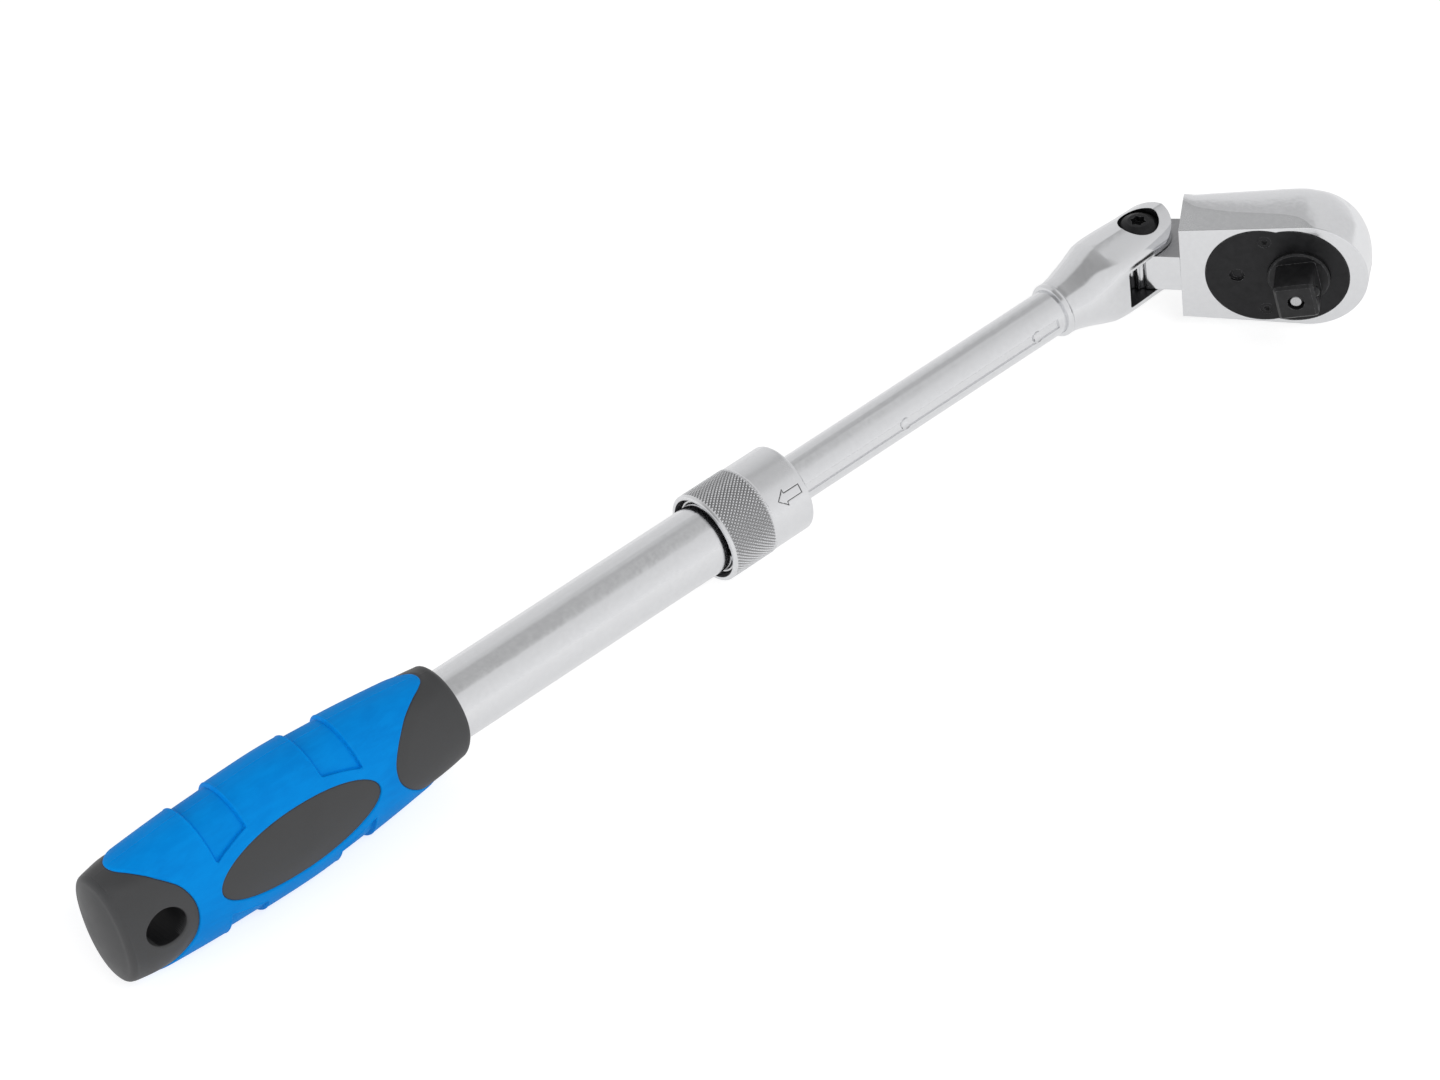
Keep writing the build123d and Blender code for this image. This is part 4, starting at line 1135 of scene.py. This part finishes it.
def fork_blank():
    stations = [(x, r, r, 2.0, 2.0) for x, r in SOCKET]
    for x in np.concatenate([np.arange(360.0, 378.0, 0.4), np.arange(378.0, 408.01, 0.75)]):
        stations.append((x, *(float(pchip(NECK[:, 0], NECK[:, k], x)) for k in (1, 2, 3, 4))))
    angles = np.linspace(0, 2 * pi, FORK_SECTORS, endpoint=False)
    cosine, sine = np.abs(np.cos(angles)), np.abs(np.sin(angles))
    verts = []
    for x, height, width, power_y, power_z in stations:
        # the section has no closed form in polar terms, so its radius is found by halving
        low, high = np.zeros(FORK_SECTORS), np.full(FORK_SECTORS, 40.0)
        for _ in range(46):
            mid = (low + high) / 2
            over = (mid * sine / width) ** power_y + (mid * cosine / height) ** power_z > 1
            high = np.where(over, mid, high)
            low = np.where(over, low, mid)
        r = (low + high) / 2
        verts.append(np.stack([np.full(FORK_SECTORS, x), r * np.sin(angles),
                               r * np.cos(angles)], 1))
    rings = np.arange(len(stations) * FORK_SECTORS).reshape(-1, FORK_SECTORS)
    faces = [tuple(f) for f in lathe(rings)] + [tuple(rings[0][::-1]), tuple(rings[-1])]
    return solid_object("fork_work", np.concatenate(verts), faces)


def fork_piece():
    ob = fork_blank()
    # ears rounded about the pivot
    ears = [(340, -30), (PIVOT_X - 0.001, -30)]
    ears += [(PIVOT_X + EAR_R * sin(t), -EAR_R * cos(t)) for t in np.linspace(0.0, pi, 61)]
    ears += [(PIVOT_X - 0.001, 30), (340, 30)]
    cut(ob, prism(ears, -20, 20), "INTERSECT")
    # slot between the ears, its floor corners softened
    open_x = PIVOT_X + 30
    slot = [(SLOT_FLOOR + 0.9, -SLOT_HALF), (open_x, -SLOT_HALF), (open_x, SLOT_HALF),
            (SLOT_FLOOR + 0.9, SLOT_HALF), (SLOT_FLOOR + 0.25, SLOT_HALF - 0.25),
            (SLOT_FLOOR, SLOT_HALF - 0.9), (SLOT_FLOOR, -SLOT_HALF + 0.9),
            (SLOT_FLOOR + 0.25, -SLOT_HALF + 0.25)]
    cut(ob, prism(slot, -20, 20, lambda x, y, z: (x, -z, y)))
    # socket bore and the narrow bore from it to the slot
    cut(ob, barrel(ALONG_X, radius=7.56, span=(350, 369.1), segments=128))
    cut(ob, barrel(ALONG_X, radius=2.35, span=(370.0, 381.0), segments=48))
    # pivot bore, wide recess in the +Z ear, flared mouth in the -Z ear
    pivot = (PIVOT_X, 0, 0)
    cut(ob, barrel(ALONG_Z, radius=4.02, span=(-16, 16), segments=72, origin=pivot))
    recess = [(10.4, 0), (10.4, 6.6), (13.35, 6.6), (13.75, 6.75), (16.0, 7.3), (16.0, 0)]
    cut(ob, turned(recess, pivot, ALONG_Z, 128))
    mouth = [(13.2, 0), (13.2, 4.1), (16.0, 6.4), (16.0, 0)]
    cut(ob, turned(mouth, pivot, (0, 0, -1), 72))
    return finish_forging(ob, "flex_fork_form", "shaft", "flex_fork", sharp_deg=30)


def fork_shaded_faces(centre, normal):
    """Slot walls and floor, and the bores round the pivot, which get near-black steel as painted
    shade.
    """
    x, y, z = centre
    inside = (378.5 < x < 420 and abs(z) < 7.05
              and (normal[2] * z < -0.2 or (normal[0] > 0.7 and x < 380.5)))
    bore = (hypot(x - PIVOT_X, y) < 6.75 and abs(z) < 13.9
            and (normal[0] * (x - PIVOT_X) + normal[1] * y) < 0)
    return inside or bore


# the slot and the bores round the pivot get near-black steel, as painted shade
paint(fork_piece(), "slot_painted_shade", fork_shaded_faces)


# ---------------------------------------------------------------------------
# ratchet head: flat ground face and sides, drafted and domed back, notched tang
# ---------------------------------------------------------------------------
FACE_Z = 9.9
TAIL_X, TAIL_HALF = -37.2, 17.3       # tail corner
NOSE_X, NOSE_R = 2.2, 19.5            # nose circle
BACK_STEPS = 40
# line between the ground side and the domed back
CREASE_X = [-37.2, -36.4, -35.6, -34.4, -32.0, -27.5, -20.8, -11.0, -6.0, -1.0, 2.2, 4.2, 6.0]
CREASE_Z = [-5.6, -5.2, -4.6, -3.4, -2.0, -0.6, 0.9, 2.1, 2.7, 4.1, 6.3, 8.6, 9.45]
# each as (x, value)
BACK_Z = ([-37.2, -24, -12, -2, 8, 30], [-12.6, -14.4, -15.45, -15.7, -15.7, -15.7])
BACK_POWER = ([-37.2, -34, -30, -11, 0, 8, 30], [4.4, 4.6, 5.2, 6.2, 7.4, 7.2, 5.5])
DRAFT_DEG = ([-37.2, -33, -25, -5, 4, 30], [4.6, 4.6, 4.8, 5.0, 4.0, 1.0])

SEAT_CENTRES = (-2.0, -11.6)          # x of the two overlapping discs of the plate seat
SEAT_LEVELS = [(7.7, 17.78), (9.6, 17.78), (9.95, 18.0), (11.5, 19.0)]     # z, radius
# stepped bore round the drive axis: z, radius
DRIVE_BORE = [(-20, 0), (-20, 6.6), (-15.7, 5.95), (-15.2, 5.55), (-10.15, 5.55),
              (-10.15, 8.05), (-3.55, 8.05), (-3.55, 13.7), (8.2, 13.7), (8.2, 0)]
POCKET = [(-7, -11.0), (-15.5, -11.0), (-25.0, -6.0), (-25.0, 6.0), (-15.5, 11.0), (-7, 11.0)]
NARROW_SLOT = [(-28.5, -3.6), (-24.5, -3.6), (-24.5, 3.6), (-28.5, 3.6)]
# stepped hole from the back, near the tail: z, radius
TAIL_HOLE = [(-30, 0), (-30, 8.2), (-12.65, 8.2), (-12.65, 3.55), (3.5, 3.55), (3.5, 0)]

TANG_HALF, TANG_R, TANG_X = 6.6, 9.9, -HEAD_REACH
NOTCH_R, NOTCH_DEPTH, NOTCH_STEP = 1.25, 0.85, radians(50.0 / 3)


def crease_z(x):
    return float(pchip(CREASE_X, CREASE_Z, x))


def place_head(verts):
    return (HEAD_ORIGIN + np.outer(verts[:, 0], HEAD_X) + np.outer(verts[:, 2], HEAD_Z)
            + np.outer(verts[:, 1], [0, 0, 1.0]))


def plate_seat():
    """Two overlapping discs as one closed cutter."""
    first, second = SEAT_CENTRES
    middle = (first + second) / 2
    steps = 100
    verts, rings = [], []
    for z, r in SEAT_LEVELS:
        height = sqrt(r * r - (first - middle) ** 2)
        a = atan2(height, middle - first)
        b = atan2(height, middle - second)
        ring = [(first + r * cos(t), r * sin(t), z) for t in np.linspace(-a, a, steps)]
        ring += [(second + r * cos(t), r * sin(t), z)
                 for t in np.linspace(b, 2 * pi - b, steps)[1:-1]]
        rings.append(range(len(verts), len(verts) + len(ring)))
        verts += ring
    return np.array(verts), skin_rings(rings)


def head_columns():
    """Outline x, y and the x on the middle line they spread from, tail corner to nose."""
    run = TAIL_X - NOSE_X
    start = atan2(TAIL_HALF, run) - acos(NOSE_R / hypot(run, TAIL_HALF))
    touch_x, touch_y = NOSE_X + NOSE_R * cos(start), NOSE_R * sin(start)
    columns = []
    # straight side, tangent to the nose circle
    for x in np.concatenate([np.linspace(TAIL_X, -32, 14), np.linspace(-31.2, touch_x, 44)]):
        share = (x - TAIL_X) / (touch_x - TAIL_X)
        columns.append((x, TAIL_HALF + (touch_y - TAIL_HALF) * share, x))
    for t in np.linspace(start, 0, 46)[1:]:
        share = (start - t) / start
        columns.append((NOSE_X + NOSE_R * cos(t), NOSE_R * sin(t),
                        NOSE_X + (touch_x - NOSE_X) * (1 - share)))
    return columns


def head_section(out_x, out_y, mid_x):
    """Points from the flat face down the side and over the back to the middle line."""
    length = hypot(out_x - mid_x, out_y)
    dir_x, dir_y = (out_x - mid_x) / length, out_y / length
    crease = crease_z(out_x)
    height = crease - float(pchip(*BACK_Z, mid_x))
    power = float(pchip(*BACK_POWER, out_x))
    taper = tan(radians(float(pchip(*DRAFT_DEG, out_x)))) * height / length
    side_top = FACE_Z - 0.35
    points = [(length - 0.35, FACE_Z), (length - 0.1, FACE_Z - 0.1), (length, side_top)]
    points += [(length, side_top + (crease - FACE_Z + 0.35) * k / 6) for k in range(1, 7)]
    for k in range(1, BACK_STEPS + 1):
        t = pi / 2 * (k / BACK_STEPS)
        down = sin(t) ** (2 / power)
        out = max(cos(t), 0.0) ** (2 / power) if k < BACK_STEPS else 0.0
        belly = 0.0
        if down < 0.8:
            belly = 0.042 * smooth01((out_x - 6) / 12) * sin(pi * min(1.0, down * 1.25))
        groove = 0.16 * np.exp(-((height * down / 0.32) ** 2)) * (1 - smooth01((out_x + 1) / 5))
        points.append((length * out * (1 - taper * down) * (1 + belly) - groove,
                       crease - height * down))
    return [(mid_x + dir_x * reach, dir_y * reach, z) for reach, z in points]


def head_blank():
    half = np.array([head_section(*column) for column in head_columns()])
    image = half[:-1].copy()
    image[:, :, 1] *= -1
    columns = np.concatenate([half, image[::-1]], 0)
    grid = np.arange(columns.shape[0] * columns.shape[1]).reshape(columns.shape[:2])
    quads = np.stack([grid[:-1, :-1], grid[1:, :-1], grid[1:, 1:], grid[:-1, 1:]], -1)
    faces = [tuple(q) for q in quads.reshape(-1, 4)]
    faces.append(tuple(grid[:, 0][::-1]))                         # flat face
    faces.append((*grid[0, :], *grid[-1, ::-1][1:]))              # tail face
    return solid_object("head_work", columns.reshape(-1, 3), faces)


def tang_blank():
    """Flat tang with thirteen notches round its end, bored at the pivot."""
    points = [(-34.0, -TANG_R), (-34.0, TANG_R)]
    centre_r = TANG_R + NOTCH_R - NOTCH_DEPTH
    half = acos((TANG_R * TANG_R + centre_r * centre_r - NOTCH_R**2) / (2 * TANG_R * centre_r))

    def rim(angle):
        return TANG_X + TANG_R * cos(angle), TANG_R * sin(angle)

    for i in range(6, -7, -1):
        middle = pi - i * NOTCH_STEP
        start, end = middle - half, middle + half
        points.append(rim(start))
        x, z = TANG_X + centre_r * cos(middle), centre_r * sin(middle)
        from_angle, to_angle = (atan2(rim(a)[1] - z, rim(a)[0] - x) for a in (start, end))
        if to_angle > from_angle:
            to_angle -= 2 * pi
        points += [(x + NOTCH_R * cos(t), z + NOTCH_R * sin(t))
                   for t in np.linspace(from_angle, to_angle, 10)[1:]]
        if i > -6:
            following = pi - (i - 1) * NOTCH_STEP - half
            points += [rim(a) for a in np.linspace(end, following, 4)[1:-1]]
    outline = [points[0]]
    for point in points[1:]:
        if hypot(point[0] - outline[-1][0], point[1] - outline[-1][1]) > 0.01:
            outline.append(point)
    tang = solid_object("tang", *prism(outline, -TANG_HALF, TANG_HALF,
                                       lambda x, y, z: (x, z, y)))
    cut(tang, barrel(ALONG_Y, radius=4.05, span=(-20, 20), segments=72, origin=(TANG_X, 0, 0)))
    return tang


def head_piece():
    ob = head_blank()
    tang = tang_blank()
    cut(ob, plate_seat())
    cut(ob, turned(DRIVE_BORE, (0, 0, 0), ALONG_Z, 144))
    cut(ob, prism(POCKET, -3.58, 8.3))
    cut(ob, prism(NARROW_SLOT, -2.2, 3.2))
    cut(ob, turned(TAIL_HOLE, (-29.5, 0, 0), ALONG_Z, 96))
    cut(ob, barrel(ALONG_Z, radius=1.51, span=(-7.0, 8.4), segments=48, origin=(-19.5, 0, 0)))
    boolean(ob, tang, "UNION")
    return finish_forging(ob, "head_housing_form", "head", "head_housing", sharp_deg=7.0,
                          place=place_head)


def head_local(centre):
    offset = np.array(centre) - DRIVE_CENTRE
    return float(offset @ HEAD_X), float(centre[2]), float(offset @ HEAD_Z)


def on_dome(centre, _):
    x, y, z = head_local(centre)
    if x < -37.1 or (hypot(x, y) < 8.3 and z > -15.0) or z > 9.6:
        return False
    return z < (crease_z(x) if x < 6 else 9.4) and (abs(y) > 14 or z < -11 or x > 15)


def on_side(centre, normal):
    x, y, z = head_local(centre)
    if not (-37.4 < x < 4.4) or abs(y) < 15.5 or abs(normal[2]) < 0.6:
        return False
    return crease_z(x) - 0.02 < z < 9.6


def on_tang(centre, normal):
    x, y, z = head_local(centre)
    return x < -37.25 and abs(y) < 6.7 and (abs(normal[2]) > 0.7 or hypot(x - TANG_X, z) < 4.3)


head = head_piece()
paint(head, "dome_polish", on_dome)
paint(head, "ground_side", on_side)
paint(head, "tang_side", on_tang)


# ---------------------------------------------------------------------------
# stage, light, camera (metres)
# ---------------------------------------------------------------------------
def floor_plane(z, half=6.0, cells=24):
    """Pale floor just below the product; it glows more to the camera than to the product."""
    row = cells + 1
    verts = [(-half + 2 * half * i / cells, -half + 2 * half * j / cells, z)
             for j in range(row) for i in range(row)]
    faces = [(j * row + i, j * row + i + 1, (j + 1) * row + i + 1, (j + 1) * row + i)
             for j in range(cells) for i in range(cells)]
    ob = mesh_object("floor", verts, faces)
    mat = Finish("floor")
    color = mat.mix(mat.noise(scale=0.004, detail=2), (0.45, 0.45, 0.45), (0.47, 0.47, 0.47))
    to_camera = mat.node("ShaderNodeLightPath").outputs["Is Camera Ray"]
    glow_gain, glow_base = 0.26, 0.44
    mat.done(color=color, rough=0.75, spec=0.2, glow_color=(1, 1, 1),
             glow=mat.math("MULTIPLY_ADD", to_camera, glow_gain, glow_base))
    ob.data.materials.append(mat.material)


# brightness round the X axis: degrees from overhead, positive towards the front (-Y)
SKY_STOPS = [(-180, 0.88), (-137, 0.72), (-95, 0.78), (-62, 0.72), (-30, 0.66), (0, 0.68),
             (37, 0.76), (60, 0.80), (84, 0.87), (96, 0.92), (180, 0.9)]


def studio_world():
    """A plain soft studio: bright below and in front, two grey flags overhead."""
    world = bpy.data.worlds.new("studio")
    world.use_nodes = True
    sky = Nodes(world.node_tree, "ShaderNodeOutputWorld")
    background = sky.node("ShaderNodeBackground")
    split = sky.node("ShaderNodeSeparateXYZ")
    sky.link(sky.node("ShaderNodeTexCoord").outputs["Generated"], split.inputs[0])
    up = split.outputs["Z"]
    front = sky.math("MULTIPLY", split.outputs["Y"], -1)
    turn = sky.remap(sky.math("ARCTAN2", front, up), to=(0.0, 1.0), source=(-pi, pi))
    color = sky.ramp(turn, [((a + 180) / 360, (v, v, v * 1.005)) for a, v in SKY_STOPS])

    def above(value, edge, soft):
        return sky.remap(value, (0.0, 1.0), (edge - soft, edge + soft), "SMOOTHSTEP")

    def below(value, edge, soft):
        return sky.remap(value, (1.0, 0.0), (edge - soft, edge + soft), "SMOOTHSTEP")

    def product(first, second):
        return sky.math("MULTIPLY", first, second)

    def over_line(slope, offset):
        """How far to the front of a slanting line on the ceiling."""
        return sky.math("SUBTRACT", ahead, sky.math("MULTIPLY_ADD", right, slope, offset))

    # the flags are laid out on a flat ceiling: right is +X, ahead is -Y
    ceiling = sky.math("MAXIMUM", up, 0.02)
    right = sky.math("DIVIDE", split.outputs["X"], ceiling)
    ahead = sky.math("DIVIDE", front, ceiling)
    overhead = above(up, edge=0.06, soft=0.03)
    left_flag = product(
        product(above(right, edge=-1.25, soft=0.15), below(right, edge=0.508, soft=0.03)),
        product(above(ahead, edge=-0.52, soft=0.10), below(ahead, edge=0.560, soft=0.035)))
    right_flag = product(
        product(above(right, edge=0.45, soft=0.03), below(right, edge=1.3, soft=0.1)),
        product(above(over_line(slope=-1.93, offset=0.4775), edge=0.0, soft=0.06),
                below(over_line(slope=-0.6, offset=0.058), edge=0.0, soft=0.04)))
    left_tone = sky.remap(right, to=(0.37, 0.49), source=(-0.1, 0.5))
    color = sky.mix(product(left_flag, overhead), color, left_tone)
    color = sky.mix(product(right_flag, overhead), color, (0.5, 0.5, 0.503))
    # the camera itself only sees a plain pale backdrop
    to_camera = sky.node("ShaderNodeLightPath").outputs["Is Camera Ray"]
    color = sky.mix(to_camera, color, (0.93, 0.93, 0.93))
    sky.link(color, background.inputs["Color"])
    background.inputs["Strength"].default_value = 1.0
    sky.link(background.outputs[0], sky.out.inputs[0])
    bpy.context.scene.world = world


def softbox(name, place, target, size, power):
    """A rectangular area light that leaves no reflection of itself."""
    light = bpy.data.lights.new(name, "AREA")
    light.shape = "RECTANGLE"
    light.size, light.size_y = size
    light.energy = power
    ob = bpy.data.objects.new(name, light)
    bpy.context.scene.collection.objects.link(ob)
    aim = (Vector(target) - Vector(place)).to_track_quat("-Z", "Y")
    ob.matrix_world = Matrix.Translation(Vector(place)) @ aim.to_matrix().to_4x4()
    ob.visible_glossy = False


def photo_camera():
    data = bpy.data.cameras.new("photo_camera")
    data.sensor_width = 36.0
    data.lens = 126.1
    data.clip_start = 0.05
    camera = bpy.data.objects.new("photo_camera", data)
    bpy.context.scene.collection.objects.link(camera)
    right = Vector((0.753328, -0.649121, -0.105539))
    up = Vector((0.493507, 0.451911, 0.743120))
    back = Vector((-0.434681, -0.611897, 0.660783))
    turn = Matrix((right, up, back)).transposed().to_4x4()
    camera.matrix_world = Matrix.Translation(Vector((-0.44625, -0.93360, 1.00378))) @ turn
    bpy.context.scene.camera = camera


floor_plane(float(cad_lo[2]) - 0.0003)
studio_world()
softbox("key_softbox", place=(0.1, -1.9, 1.9), target=(0.2, 0, 0), size=(1.6, 1.2), power=26)
softbox("end_softbox", place=(-1.6, 0.3, 0.35), target=(0.0, 0, 0), size=(0.7, 0.7), power=12)
photo_camera()
bpy.context.scene.view_settings.view_transform = "Standard"
